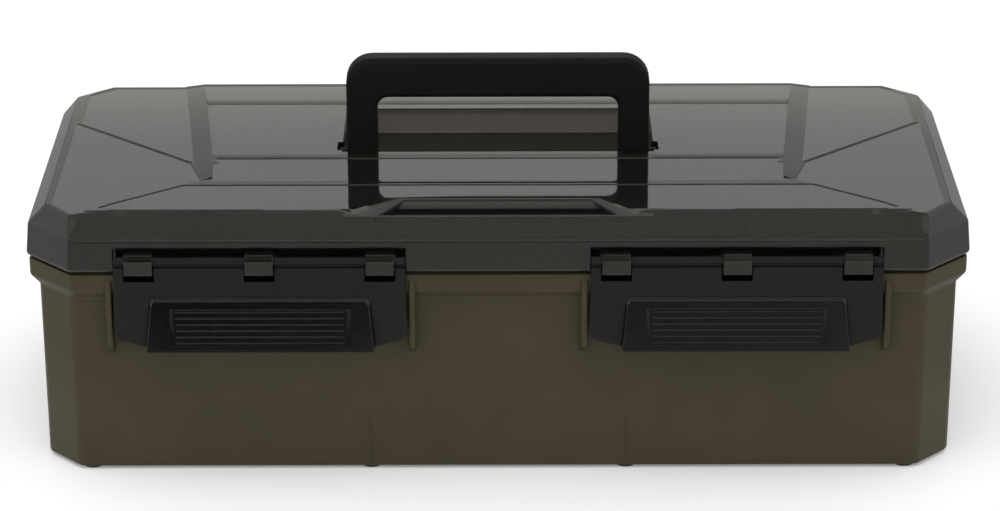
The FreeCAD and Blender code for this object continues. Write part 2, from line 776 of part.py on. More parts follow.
def handle_pin():
    """Right-hand pin, pressed into the lid's boss, on which the handle turns."""
    outer_x = recess_half_width + pivot_notch_depth + lid_wall + pivot_boss_length - handle_pin_inset
    inner_x = handle_half_width - handle_pin_depth
    return rod_along_x(handle_pin_radius, inner_x, outer_x, 0, handle_axis_z)


def latch_plate():
    """Right-hand latch: a bar in the lid's hooks, a windowed plate and the lip behind it."""
    tail_z = latch_bar_z - latch_length
    side_z = latch_bar_z - latch_side_length
    half = latch_half_width
    corner_x = half - latch_corner_run
    outline = [(half, plate_top_z), (half, side_z), (corner_x, side_z - latch_corner_drop),
               (latch_tail_half, tail_z), (-latch_tail_half, tail_z),
               (-corner_x, side_z - latch_corner_drop), (-half, side_z), (-half, plate_top_z)]
    corners = [Vector(latch_centre_x + x, plate_front_y, z) for x, z in outline]
    face = Part.Face(Part.makePolygon(corners + [corners[0]]))
    plate = face.extrude(Vector(0, latch_plate_thickness, 0))
    neck_y = latch_bar_y - latch_neck_thickness / 2
    neck = box(latch_centre_x - half, latch_centre_x + half, neck_y, neck_y + latch_neck_thickness,
               plate_top_z - merge_depth, latch_bar_z)
    windows = []
    for step in (-1, 0, 1):
        centre = latch_centre_x + step * hook_spacing
        window_half = hook_half_width + window_side_gap
        windows.append(box(centre - window_half, centre + window_half, plate_front_y - overrun,
                           plate_back_y + overrun, latch_bar_z - window_depth,
                           latch_bar_z + overrun))
    bar = rod_along_x(latch_bar_radius, latch_centre_x - half, latch_centre_x + half,
                      latch_bar_y, latch_bar_z)
    lip_top = flange_top_z - catch_drop - lip_gap
    lip = box(latch_centre_x - lip_half_width, latch_centre_x + lip_half_width,
              plate_back_y - merge_depth, plate_back_y + lip_reach, lip_top - lip_height, lip_top)
    return joined([joined([plate, neck]).cut(windows), bar, lip])


def latch_pad():
    """Right-hand grip pad: a wedge on the plate's front that flares out towards its foot."""
    top_z = plate_top_z - pad_top_drop
    low_z = top_z - pad_height
    back = pad_wire(pad_top_half, pad_bottom_half, plate_front_y, top_z, plate_front_y, low_z + pad_tail)
    front = pad_wire(pad_top_half - pad_front_inset, pad_bottom_half - pad_front_inset,
                     plate_front_y - pad_top_thickness, top_z - pad_top_bevel,
                     plate_front_y - pad_bottom_thickness, low_z)
    return Part.makeLoft([back, front], True, True)


def pad_wire(top_half, low_half, top_y, top_z, low_y, low_z):
    """Six-sided outline of the pad with its upper corners cut, level or leaning forwards."""
    lean = pad_corner / (top_z - low_z)
    side_y = top_y + (low_y - top_y) * lean
    side_half = top_half + (low_half - top_half) * lean
    right = [(top_half - pad_corner / 2, top_y, top_z), (side_half, side_y, top_z - pad_corner),
             (low_half, low_y, low_z)]
    left = [(-x, y, z) for x, y, z in reversed(right)]
    corners = [Vector(latch_centre_x + x, y, z) for x, y, z in right + left]
    return Part.makePolygon(corners + [corners[0]])


def build_parts():
    """Every piece of the box by its node name."""
    parts = {"body_tub": body_tub(), "lid_seal": lid_seal(), "lid_shell": lid_shell(),
             "handle": handle()}
    for name, (x, y) in foot_places().items():
        parts[name] = foot(x, y)
    for number, x in enumerate(divider_places(), start=1):
        parts[f"divider_{number}"] = divider(x)
    for name, right in (("handle_pin", handle_pin()), ("latch_plate", latch_plate()),
                        ("latch_pad", latch_pad())):
        parts[f"{name}_right"] = right
        parts[f"{name}_left"] = mirrored(right)
    parts["hinge_pin_right"] = hinge_pin(hinge_centre_x, hinge_pin_radius)
    parts["hinge_pin_left"] = hinge_pin(-hinge_centre_x, hinge_pin_radius)
    return parts


def main():
    """Build every piece and write one file for each."""
    os.makedirs("parts", exist_ok=True)
    for name, shape in build_parts().items():
        solids = shape.Solids
        piece = solids[0] if len(solids) == 1 else shape
        print(f"{name}: {len(solids)} solid, valid {piece.isValid()}, {piece.Volume:.0f} mm3")
        piece.exportStep(os.path.join("parts", f"{name}.step"))


main()
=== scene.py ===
"""Looks of a fishing tackle box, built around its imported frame.

Sizes are written in millimetres in the frame's axes: X along the box, -Y the front with the latches,
Z up from the feet's undersides. Meshes are turned into metres when they become objects.
"""
import json
import logging
import math
from collections.abc import Callable, Mapping, Sequence
from dataclasses import dataclass
from enum import Enum
from typing import Any

import bmesh
import bpy
from mathutils import Matrix, Vector


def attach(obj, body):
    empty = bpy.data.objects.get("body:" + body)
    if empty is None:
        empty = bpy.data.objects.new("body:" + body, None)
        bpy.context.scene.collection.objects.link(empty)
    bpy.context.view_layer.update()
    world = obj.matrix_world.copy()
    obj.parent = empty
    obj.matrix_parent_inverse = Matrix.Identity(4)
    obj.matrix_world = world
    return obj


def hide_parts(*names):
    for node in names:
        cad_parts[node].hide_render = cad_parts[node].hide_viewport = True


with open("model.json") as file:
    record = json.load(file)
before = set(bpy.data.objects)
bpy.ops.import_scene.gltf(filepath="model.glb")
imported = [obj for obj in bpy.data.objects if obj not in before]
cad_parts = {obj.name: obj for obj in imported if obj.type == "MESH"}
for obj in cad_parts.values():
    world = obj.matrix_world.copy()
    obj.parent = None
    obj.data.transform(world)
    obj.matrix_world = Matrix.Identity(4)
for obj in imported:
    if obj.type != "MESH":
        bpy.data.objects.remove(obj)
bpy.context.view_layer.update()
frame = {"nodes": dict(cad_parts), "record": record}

log = logging.getLogger("tackle_box")

# Lengths: a millimetre and the soft edge of a mask in metres, the others in millimetres
MM = 0.001
EDGE = 0.0005
WELD = 0.0005
FACET_WIDTH = 1.0
FINE_ROUND = 0.3
# How far a cutter reaches past what it cuts
OVER = 1.0
# Limits between sharp and smooth edges, and the weight of wide faces in the normals
SHARP_DEGREES = 18
SMOOTH_DEGREES = 34.0
FACE_WEIGHT = 80
ROUND_SIDES = 32
ROD_SIDES = 40
# Shares of a step's length and drop at its middle points, from behind
STEP_SHARES = ((0.62, 0.14), (0.3, 0.36), (0.08, 0.7))
NOISE_ROUGHNESS = 0.6
# Numbers of the colour sockets of Blender's mix node
MIX_COLOURS = (6, 7)
MIX_RESULT = 2
# Left and right; left, middle and right
SIGNS = (-1, 1)
THIRDS = (-1, 0, 1)

Point = tuple[float, float, float]
Plan = tuple[float, float]
Colour = tuple[float, float, float]


class Join(Enum):
    """Ways in which two closed meshes are put together."""

    ADD = "UNION"
    CUT = "DIFFERENCE"
    KEEP = "INTERSECT"


class Side(Enum):
    """The two sides of the box, with the sign of X on each."""

    LEFT = -1
    RIGHT = 1

    @property
    def label(self) -> str:
        """Name of the side as the frame's nodes and bodies have it."""
        return self.name.lower()


# Shader graphs


class Wire:
    """Number that varies over a surface: arithmetic on it adds Math nodes to its graph."""

    def __init__(self, graph: "Graph", socket: bpy.types.NodeSocket) -> None:
        """Keep the socket and the graph it belongs to.

        Args:
            graph: Graph that new Math nodes are added to.
            socket: Output socket of a node in that graph.
        """
        self.graph = graph
        self.socket = socket

    def _math(self, operation: str, first: Any, second: Any) -> "Wire":
        """Math node on two values.

        Args:
            operation: Name of the Math node's operation.
            first: Wire or number for the first input.
            second: Wire or number for the second input.

        Returns:
            The node's output.
        """
        node = self.graph.node("ShaderNodeMath", {"operation": operation}, {0: first, 1: second})
        return Wire(self.graph, node.outputs[0])

    def __add__(self, other: Any) -> "Wire":
        """Sum with a wire or number."""
        return self._math("ADD", self, other)

    def __radd__(self, other: Any) -> "Wire":
        """Sum with a number on the left."""
        return self._math("ADD", other, self)

    def __sub__(self, other: Any) -> "Wire":
        """Difference from a wire or number."""
        return self._math("SUBTRACT", self, other)

    def __rsub__(self, other: Any) -> "Wire":
        """Difference with a number on the left."""
        return self._math("SUBTRACT", other, self)

    def __mul__(self, other: Any) -> "Wire":
        """Product with a wire or number."""
        return self._math("MULTIPLY", self, other)

    def clamped(self) -> "Wire":
        """The same number held between 0 and 1."""
        return Wire(self.graph, self.graph.node("ShaderNodeClamp", {}, {0: self}).outputs[0])

    def band(self, low: float, high: float) -> "Wire":
        """The part of the number's range from low to high, stretched to 0 to 1 and clamped."""
        return ((self - low) * (1 / (high - low))).clamped()


class Graph:
    """Node graph of one material."""

    def __init__(self, name: str) -> None:
        """Make an empty material.

        Args:
            name: Name of the material.
        """
        self.material = bpy.data.materials.new(name)
        self.material.use_nodes = True
        self.tree = self.material.node_tree
        self.tree.nodes.clear()
        self._place: bpy.types.NodeSocket | None = None

    def node(self, kind: str, settings: Mapping[str, Any] | None = None,
             inputs: Mapping[Any, Any] | None = None) -> bpy.types.Node:
        """Add a node, set its settings, then fill its sockets.

        Args:
            kind: Node type's identifier.
            settings: Attributes of the node.
            inputs: Socket name or number to a number, colour, wire or output socket.

        Returns:
            The new node.
        """
        made = self.tree.nodes.new(kind)
        for key, value in (settings or {}).items():
            setattr(made, key, value)
        for key, value in (inputs or {}).items():
            self.feed(made.inputs[key], value)
        return made

    def feed(self, socket: bpy.types.NodeSocket, value: Any) -> None:
        """Link or set one input socket.

        Args:
            socket: Input socket.
            value: Wire, output socket, number, or colour of three numbers.
        """
        if isinstance(value, Wire):
            self.tree.links.new(value.socket, socket)
        elif isinstance(value, bpy.types.NodeSocket):
            self.tree.links.new(value, socket)
        elif socket.type == "RGBA":
            socket.default_value = (*value, 1.0)
        else:
            socket.default_value = value

    def place(self) -> bpy.types.NodeSocket:
        """Object coordinates, from one node that the whole graph shares.

        Returns:
            The socket, in metres.
        """
        if self._place is None:
            self._place = self.node("ShaderNodeTexCoord").outputs["Object"]
        return self._place

    def stretched(self, scale: Point) -> bpy.types.NodeSocket:
        """Object coordinates scaled by their own factor along each axis."""
        return self.node("ShaderNodeMapping", {}, {"Vector": self.place(), "Scale": scale}).outputs[0]

    def noise(self, size_mm: float, detail: float = 2.0, scale: Point | None = None) -> Wire:
        """Noise whose spots are about one size across.

        Args:
            size_mm: Rough size of a spot.
            detail: Octaves of finer noise on top.
            scale: Stretch of the coordinates along each axis.

        Returns:
            Noise about 0.5, within 0 to 1.
        """
        where = self.place() if scale is None else self.stretched(scale)
        made = self.node("ShaderNodeTexNoise", {}, {"Vector": where, "Scale": 1 / (size_mm * MM),
                                                    "Detail": detail, "Roughness": NOISE_ROUGHNESS})
        return Wire(self, made.outputs["Fac"])

    def speckle(self, size_mm: float) -> Wire:
        """Distance to the nearest of scattered points that lie about one size apart."""
        made = self.node("ShaderNodeTexVoronoi", {}, {"Vector": self.place(), "Scale": 1 / (size_mm * MM)})
        return Wire(self, made.outputs["Distance"])

    def axis(self, name: str) -> Wire:
        """Object coordinate along X, Y or Z, in metres."""
        return Wire(self, self.node("ShaderNodeSeparateXYZ", {}, {0: self.place()}).outputs[name])

    def within(self, low: Point, high: Point) -> Wire:
        """Mask of a box, with an edge half a millimetre wide.

        Args:
            low: Lower corner in millimetres.
            high: Upper corner in millimetres.

        Returns:
            1 inside the box and 0 outside it.
        """
        result = None
        for name, start, end in zip("XYZ", low, high):
            axis = self.axis(name)
            inside = (axis.band(start * MM - EDGE, start * MM)
                      * (1 - axis.band(end * MM, end * MM + EDGE)))
            result = inside if result is None else result * inside
        return result

    def blend(self, share: Any, first: Any, second: Any) -> bpy.types.NodeSocket:
        """Colour between two colours.

        Args:
            share: Wire or number, 0 for the first colour and 1 for the second.
            first: Colour or colour socket.
            second: Colour or colour socket.

        Returns:
            The mixed colour's socket.
        """
        made = self.node("ShaderNodeMix", {"data_type": "RGBA"})
        self.feed(made.inputs["Factor"], share)
        for socket, colour in zip(MIX_COLOURS, (first, second)):
            self.feed(made.inputs[socket], colour)
        return made.outputs[MIX_RESULT]

    def bump(self, height: Wire, depth_mm: float) -> bpy.types.NodeSocket:
        """Normal bent by a height.

        Args:
            height: Height within 0 to 1.
            depth_mm: Real depth of the relief.

        Returns:
            The bent normal.
        """
        made = self.node("ShaderNodeBump", {}, {"Height": height, "Strength": 1.0,
                                                "Distance": depth_mm * MM})
        return made.outputs[0]

    def close(self, inputs: Mapping[str, Any], other: Mapping[str, Any] | None = None,
              share: Any = 0.0) -> bpy.types.Material:
        """End the graph in one shader, or in a mix of two.

        Args:
            inputs: Values and links of the shader's sockets.
            other: The same for a second shader.
            share: Share of the second shader.

        Returns:
            The finished material.
        """
        surface = self.node("ShaderNodeBsdfPrincipled", {}, inputs).outputs[0]
        if other is not None:
            second = self.node("ShaderNodeBsdfPrincipled", {}, other).outputs[0]
            surface = self.node("ShaderNodeMixShader", {}, {0: share, 1: surface, 2: second}).outputs[0]
        self.node("ShaderNodeOutputMaterial", {}, {"Surface": surface})
        return self.material


def shade(colour: Colour, factor: float) -> Colour:
    """Colour made lighter or darker by a factor."""
    return (colour[0] * factor, colour[1] * factor, colour[2] * factor)


@dataclass(frozen=True)
class MouldedPlastic:
    """Opaque moulded plastic with a spark-eroded grain, faint flow mottling and light handling wear."""

    name: str
    colour: Colour
    roughness: float
    grain_mm: float = 0.55
    grain_depth_mm: float = 0.012
    mottle: float = 0.10
    scuff: float = 0.12
    gloss: float = 0.25
    ior: float = 1.48
    grain_rough: float = 0.12
    flow_mm: float = 38.0
    flow_limits: Plan = (0.3, 0.7)
    sheen_limits: Plan = (0.5, 0.9)
    sheen_smooth: float = 0.05
    rub_mm: float = 9.0
    rub_stretch: Point = (0.35, 1.0, 1.0)
    rub_limits: Plan = (0.56, 0.74)
    rub_rough: float = 0.06
    rub_lighter: float = 1.9
    swell_mm: float = 3.2
    swell_share: float = 0.35

    def material(self) -> bpy.types.Material:
        """Make the material.

        Returns:
            A material whose colour, gloss and relief vary at three scales.
        """
        graph = Graph(self.name)
        grain = graph.noise(self.grain_mm, 1.0)
        flow = graph.noise(self.flow_mm, 3.0)
        rub = graph.noise(self.rub_mm, 4.0, self.rub_stretch).band(*self.rub_limits)
        lighter = shade(self.colour, 1 + self.mottle)
        darker = shade(self.colour, 1 - self.mottle)
        colour = graph.blend(flow.band(*self.flow_limits), darker, lighter)
        colour = graph.blend(rub * self.scuff, colour, shade(self.colour, self.rub_lighter))
        rough = (self.roughness + (grain - 0.5) * self.grain_rough + rub * self.rub_rough
                 - flow.band(*self.sheen_limits) * self.sheen_smooth)
        relief = grain + graph.noise(self.swell_mm, 2.0) * self.swell_share
        return graph.close({"Base Color": colour, "Roughness": rough.clamped(), "IOR": self.ior,
                            "Specular IOR Level": self.gloss,
                            "Normal": graph.bump(relief, self.grain_depth_mm)})


@dataclass(frozen=True)
class MattPart:
    """Box in which a clear plastic looks matt: its limits in millimetres, its colour and its share. On the
    lid some boxes' colours are painted light and painted shade.
    """

    low: Point
    high: Point
    colour: Colour
    share: float


@dataclass(frozen=True)
class SmokedPlastic:
    """Glossy see-through plastic with a dark tint, faint moulding waves, hairlines and dust."""

    name: str
    tint: Colour
    roughness: float
    transmission: float
    ior: float = 1.5
    wave_mm: float = 0.01
    cloud: Colour = (0.13, 0.12, 0.10)
    cloud_share: float = 0.045
    back_matt_colour: Colour = (0.36, 0.34, 0.30)
    back_matt_growth: float = 0.18
    back_matt_limits: Plan = (0.0, 0.07)
    parts: tuple[MattPart, ...] = ()
    specular_tint: Colour = (1.0, 0.97, 0.91)
    wave_spot_mm: float = 46.0
    hair_mm: float = 1.1
    hair_stretch: Point = (0.03, 1.0, 1.0)
    hair_limits: Plan = (0.66, 0.8)
    hair_rough: float = 0.03
    hair_share: float = 0.004
    dust_mm: float = 3.4
    dust_limits: Plan = (0.02, 0.07)
    dust_share: float = 0.12
    dust_lighter: float = 5.0
    dust_rough: float = 0.1
    haze_mm: float = 30.0
    haze_limits: Plan = (0.45, 0.8)
    haze_rough: float = 0.02
    haze_lighter: float = 1.15
    matt_roughness: float = 0.5
    matt_grain_mm: float = 0.7
    matt_depth_mm: float = 0.003

    def material(self) -> bpy.types.Material:
        """Make the material.

        Returns:
            A material with clear gloss that hairlines and dust break up a little.
        """
        graph = Graph(self.name)
        wave = graph.noise(self.wave_spot_mm, 1.0)
        hair = graph.noise(self.hair_mm, 2.0, self.hair_stretch).band(*self.hair_limits)
        dust = graph.speckle(self.dust_mm)
        specks = 1 - dust.band(*self.dust_limits)
        haze = graph.noise(self.haze_mm, 4.0).band(*self.haze_limits)
        colour = graph.blend(specks * self.dust_share, self.tint, shade(self.tint, self.dust_lighter))
        rough = (self.roughness + haze * self.haze_rough + hair * self.hair_rough
                 + specks * self.dust_rough)
        relief = wave + hair * self.hair_share
        clear = {"Base Color": colour, "Roughness": rough.clamped(), "IOR": self.ior,
                 "Transmission Weight": self.transmission, "Specular Tint": self.specular_tint,
                 "Normal": graph.bump(relief, self.wave_mm)}
        grain = graph.noise(self.matt_grain_mm, 1.0)
        # Towards the back the matt layer grows and turns lighter.
        back = graph.axis("Y").band(*self.back_matt_limits)
        matt_colour = graph.blend(haze, self.cloud, shade(self.cloud, self.haze_lighter))
        matt_colour = graph.blend(back, matt_colour, self.back_matt_colour)
        share = back * self.back_matt_growth + self.cloud_share
        # Each part box sets its own matt colour and share; on the lid some of these colours are painted light
        # and painted shade.
        for part in self.parts:
            inside = graph.within(part.low, part.high)
            matt_colour = graph.blend(inside, matt_colour, part.colour)
            share = share * (1 - inside) + inside * part.share
        matt = {"Base Color": matt_colour, "Roughness": self.matt_roughness,
                "Normal": graph.bump(grain, self.matt_depth_mm)}
        return graph.close(clear, matt, share)


@dataclass(frozen=True)
class Rubber:
    """Dull moulded rubber with pores and a pale bloom."""

    name: str
    colour: Colour
    roughness: float = 0.72
    ior: float = 1.5
    pore_mm: float = 0.8
    pore_limits: Plan = (0.05, 0.4)
    pore_depth_mm: float = 0.03
    bloom_mm: float = 6.0
    bloom_limits: Plan = (0.45, 0.8)
    bloom_share: float = 0.5
    bloom_lighter: float = 2.2
    bloom_rough: float = 0.12

    def material(self) -> bpy.types.Material:
        """Make the material.

        Returns:
            A material with fine pores and cloudy bloom.
        """
        graph = Graph(self.name)
        pores = graph.speckle(self.pore_mm).band(*self.pore_limits)
        bloom = graph.noise(self.bloom_mm, 3.0).band(*self.bloom_limits)
        colour = graph.blend(bloom * self.bloom_share, self.colour, shade(self.colour, self.bloom_lighter))
        rough = self.roughness + bloom * self.bloom_rough
        return graph.close({"Base Color": colour, "Roughness": rough.clamped(), "IOR": self.ior,
                            "Normal": graph.bump(pores, self.pore_depth_mm)})


@dataclass(frozen=True)
class DrawnSteel:
    """Bright wire with drawing lines along X and a few dull spots."""

    name: str
    colour: Colour = (0.56, 0.56, 0.55)
    roughness: float = 0.26
    line_mm: float = 0.25
    line_stretch: Point = (0.02, 1.0, 1.0)
    line_rough: float = 0.2
    line_depth_mm: float = 0.004
    spot_mm: float = 2.5
    spot_limits: Plan = (0.6, 0.8)
    spot_share: float = 0.5
    spot_darker: float = 0.45
    spot_rough: float = 0.25

    def material(self) -> bpy.types.Material:
        """Make the material.

        Returns:
            A metal whose gloss is broken by lines along the wire.
        """
        graph = Graph(self.name)
        lines = graph.noise(self.line_mm, 2.0, self.line_stretch)
        spots = graph.noise(self.spot_mm, 3.0).band(*self.spot_limits)
        colour = graph.blend(spots * self.spot_share, self.colour, shade(self.colour, self.spot_darker))
        rough = self.roughness + (lines - 0.5) * self.line_rough + spots * self.spot_rough
        return graph.close({"Base Color": colour, "Roughness": rough.clamped(), "Metallic": 1.0,
                            "Normal": graph.bump(lines, self.line_depth_mm)})


# Mesh work


def cut_rectangle(half_x: float, half_y: float, cut: float) -> list[Plan]:
    """Corner points of a rectangle with its four corners cut off."""
    right = [(half_x - cut, -half_y), (half_x, -half_y + cut), (half_x, half_y - cut), (half_x - cut, half_y)]
    return both_ways(right)


def inset_cut(cut: float, amount: float) -> float:
    """Corner cut of an eight-sided outline after its sides move inwards by an amount."""
    return cut - (2 - math.sqrt(2)) * amount


def rounded(points: Sequence[Plan], radius: float, steps: int) -> list[Plan]:
    """Outline with each corner replaced by an arc.

    Args:
        points: Corners in order.
        radius: Radius of each arc.
        steps: Number of chords in each arc.

    Returns:
        The finer outline, with steps + 1 points for each corner.
    """
    count = len(points)
    result = []
    for index, corner in enumerate(points):
        here = Vector(corner)
        back = (Vector(points[index - 1]) - here).normalized()
        ahead = (Vector(points[(index + 1) % count]) - here).normalized()
        half = back.angle(ahead) / 2
        centre = here + (back + ahead).normalized() * (radius / math.sin(half))
        start = here + back * (radius / math.tan(half)) - centre
        end = here + ahead * (radius / math.tan(half)) - centre
        for step in range(steps + 1):
            share = step / steps
            arm = start.lerp(end, share)
            result.append(tuple(centre + arm.normalized() * radius))
    return result


def at_level(points: Sequence[Plan], z: float) -> list[Point]:
    """Outline lifted to one height."""
    return [(x, y, z) for x, y in points]


def circle(radius: float) -> list[Plan]:
    """Points round a circle about the origin."""
    turns = [math.tau * step / ROUND_SIDES for step in range(ROUND_SIDES)]
    return [(radius * math.cos(turn), radius * math.sin(turn)) for turn in turns]


def tapered(front: Plan, back: Plan) -> list[Plan]:
    """Four corners from the half width and Y of a front edge and of a back edge."""
    return [(-front[0], front[1]), front, back, (-back[0], back[1])]


def both_ways(half: Sequence[Plan]) -> list[Plan]:
    """Closed outline from its right half and the mirror image of that."""
    return [*half, *((-x, y) for x, y in reversed(half))]


class Shell:
    """Closed mesh in the making, in millimetres."""

    def __init__(self, mesh: bmesh.types.BMesh) -> None:
        """Hold a mesh."""
        self.mesh = mesh

    @classmethod
    def loft(cls, rings: Sequence[Sequence[Point]]) -> "Shell":
        """Skin over rings with the same number of points, closed at both ends.

        Args:
            rings: Outlines from one end to the other.

        Returns:
            The closed shell.
        """
        mesh = bmesh.new()
        loops = [[mesh.verts.new(point) for point in ring] for ring in rings]
        mesh.faces.new(loops[0][::-1])
        mesh.faces.new(loops[-1])
        for low, high in zip(loops, loops[1:]):
            for index, corner in enumerate(low):
                after = (index + 1) % len(low)
                mesh.faces.new((corner, low[after], high[after], high[index]))
        bmesh.ops.recalc_face_normals(mesh, faces=mesh.faces[:])
        return cls(mesh)

    @classmethod
    def along_x(cls, profile: Sequence[Plan], x_from: float, x_to: float) -> "Shell":
        """Profile in Y and Z that runs along X."""
        return cls.loft([[(x, y, z) for y, z in profile] for x in (x_from, x_to)])

    @classmethod
    def upright(cls, points: Sequence[Plan], low_z: float, high_z: float) -> "Shell":
        """One outline from its foot to its top."""
        return cls.loft([at_level(points, low_z), at_level(points, high_z)])

    @classmethod
    def box(cls, x: Plan, y: Plan, z: Plan) -> "Shell":
        """Box between limits on each axis."""
        return cls.upright([(x[0], y[0]), (x[1], y[0]), (x[1], y[1]), (x[0], y[1])], *z)

    @classmethod
    def rod(cls, radius: float, x: Plan, centre: Plan, chamfer: float = 0.0,
            steps: int = ROD_SIDES) -> "Shell":
        """Round rod along X.

        Args:
            radius: Radius of the rod.
            x: Limits along X.
            centre: Y and Z of its axis.
            chamfer: Size of the chamfer at both ends.
            steps: Number of sides.

        Returns:
            The rod.
        """
        turns = [math.tau * step / steps for step in range(steps)]
        stations = [(x[0], radius), (x[1], radius)]
        if chamfer > 0:
            stations = [(x[0], radius - chamfer), (x[0] + chamfer, radius),
                        (x[1] - chamfer, radius), (x[1], radius - chamfer)]
        return cls.loft([[(place, centre[0] + size * math.cos(turn), centre[1] + size * math.sin(turn))
                          for turn in turns] for place, size in stations])

    def softened(self, width: float, segments: int = 2,
                 pick: Callable[[Vector, Vector], bool] | None = None) -> "Shell":
        """Round the sharp edges.

        Args:
            width: Width of each rounded edge.
            segments: Number of strips across it.
            pick: Tells from an edge's end points whether it is rounded; all sharp edges if left out.

        Returns:
            This shell.
        """
        edges = [edge for edge in self.mesh.edges
                 if edge.calc_face_angle(0.0) > math.radians(SHARP_DEGREES)
                 and (pick is None or pick(edge.verts[0].co, edge.verts[1].co))]
        bmesh.ops.bevel(self.mesh, geom=edges, offset=width, offset_type="OFFSET", segments=segments,
                        profile=0.5, affect="EDGES", clamp_overlap=True, loop_slide=True)
        return self

    def mirrored(self) -> "Shell":
        """Mirror the shell in the middle plane.

        Returns:
            The copy.
        """
        mesh = self.mesh.copy()
        bmesh.ops.scale(mesh, vec=(-1, 1, 1), verts=mesh.verts[:])
        bmesh.ops.reverse_faces(mesh, faces=mesh.faces[:])
        return Shell(mesh)

    def turned_about_z(self) -> "Shell":
        """Turn the shell half way round about Z.

        Returns:
            The copy.
        """
        mesh = self.mesh.copy()
        bmesh.ops.scale(mesh, vec=(-1, -1, 1), verts=mesh.verts[:])
        return Shell(mesh)

    def moved(self, step: Point) -> "Shell":
        """Move the shell.

        Args:
            step: How far, along each axis.

        Returns:
            The moved copy.
        """
        mesh = self.mesh.copy()
        bmesh.ops.translate(mesh, vec=step, verts=mesh.verts[:])
        return Shell(mesh)

    def gathered(self, others: Sequence["Shell"]) -> "Shell":
        """Put other shells beside this one, as separate closed parts of one mesh.

        Args:
            others: The other shells.

        Returns:
            This shell.
        """
        for other in others:
            spare = bpy.data.meshes.new("spare")
            other.mesh.to_mesh(spare)
            self.mesh.from_mesh(spare)
            bpy.data.meshes.remove(spare)
        return self

    def combined(self, how: Join, others: Sequence["Shell"]) -> "Shell":
        """Put other shells to this one, one after another.

        Args:
            how: Whether they are added, cut away or kept in common.
            others: Closed shells.

        Returns:
            The new shell.
        """
        scene = bpy.context.scene.collection
        body = bpy.data.objects.new("body_in_work", self.plain_mesh())
        scene.objects.link(body)
        tools = []
        for other in others:
            tool = bpy.data.objects.new("tool_in_work", other.plain_mesh())
            scene.objects.link(tool)
            tools.append(tool)
            modifier = body.modifiers.new("join", "BOOLEAN")
            modifier.operation = how.value
            modifier.solver = "EXACT"
            modifier.object = tool
        bpy.context.view_layer.update()
        ready = body.evaluated_get(bpy.context.evaluated_depsgraph_get())
        mesh = bpy.data.meshes.new_from_object(ready)
        result = bmesh.new()
        result.from_mesh(mesh)
        bmesh.ops.remove_doubles(result, verts=result.verts[:], dist=WELD)
        bpy.data.meshes.remove(mesh)
        for item in [body, *tools]:
            spare = item.data
            bpy.data.objects.remove(item)
            bpy.data.meshes.remove(spare)
        return Shell(result)

    def plain_mesh(self) -> bpy.types.Mesh:
        """Copy the shell into mesh data.

        Returns:
            The mesh, still in millimetres.
        """
        mesh = bpy.data.meshes.new("in_work")
        self.mesh.to_mesh(mesh)
        return mesh

    def finished(self, name: str, material: bpy.types.Material,
                 smooth_degrees: float = SMOOTH_DEGREES,
                 facet_degrees: float = SMOOTH_DEGREES) -> bpy.types.Object:
        """Turn the shell into an object in metres.

        Args:
            name: Name of the object.
            material: Material of all its faces.
            smooth_degrees: Edges with a larger angle stay sharp.
            facet_degrees: The same limit between two wide faces, such as the facets of a crown.

        Returns:
            The object, at the origin.
        """
        for face in self.mesh.faces:
            face.smooth = True
        for edge in self.mesh.edges:
            wide = all(face.calc_area() > FACET_WIDTH * face.calc_perimeter() / 2
                       for face in edge.link_faces)
            limit = facet_degrees if wide else smooth_degrees
            edge.smooth = edge.calc_face_angle(0.0) < math.radians(limit)
        bmesh.ops.scale(self.mesh, vec=(MM, MM, MM), verts=self.mesh.verts[:])
        mesh = bpy.data.meshes.new(name)
        self.mesh.to_mesh(mesh)
        mesh.materials.clear()
        mesh.materials.append(material)
        made = bpy.data.objects.new(name, mesh)
        bpy.context.scene.collection.objects.link(made)
        weigh = made.modifiers.new("even_normals", "WEIGHTED_NORMAL")
        weigh.keep_sharp = True
        weigh.weight = FACE_WEIGHT
        return made


def settle(piece: bpy.types.Object, body: str, nodes: Sequence[str]) -> None:
    """Hang a finished piece on its body and report it.

    Args:
        piece: The finished object.
        body: Body of the frame that it rides on.
        nodes: Nodes of the frame that it stands for.
    """
    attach(piece, body)
    if nodes:
        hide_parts(*nodes)
    log.info("%s rides on %s for %s, %d faces", piece.name, body, ", ".join(nodes) or "no node",
             len(piece.data.polygons))


# Studio


@dataclass(frozen=True)
class Card:
    """Flat card that only gloss reflects: its limits in millimetres, and its grey on the left and right."""

    name: str
    x: Plan
    y: Plan
    z: Plan
    greys: Plan

    def corners(self) -> list[Point]:
        """Corners of a card that lies level, or stands where both limits in Y are the same."""
        return [(self.x[side], self.y[end], self.z[end])
                for side, end in ((0, 0), (1, 0), (1, 1), (0, 1))]


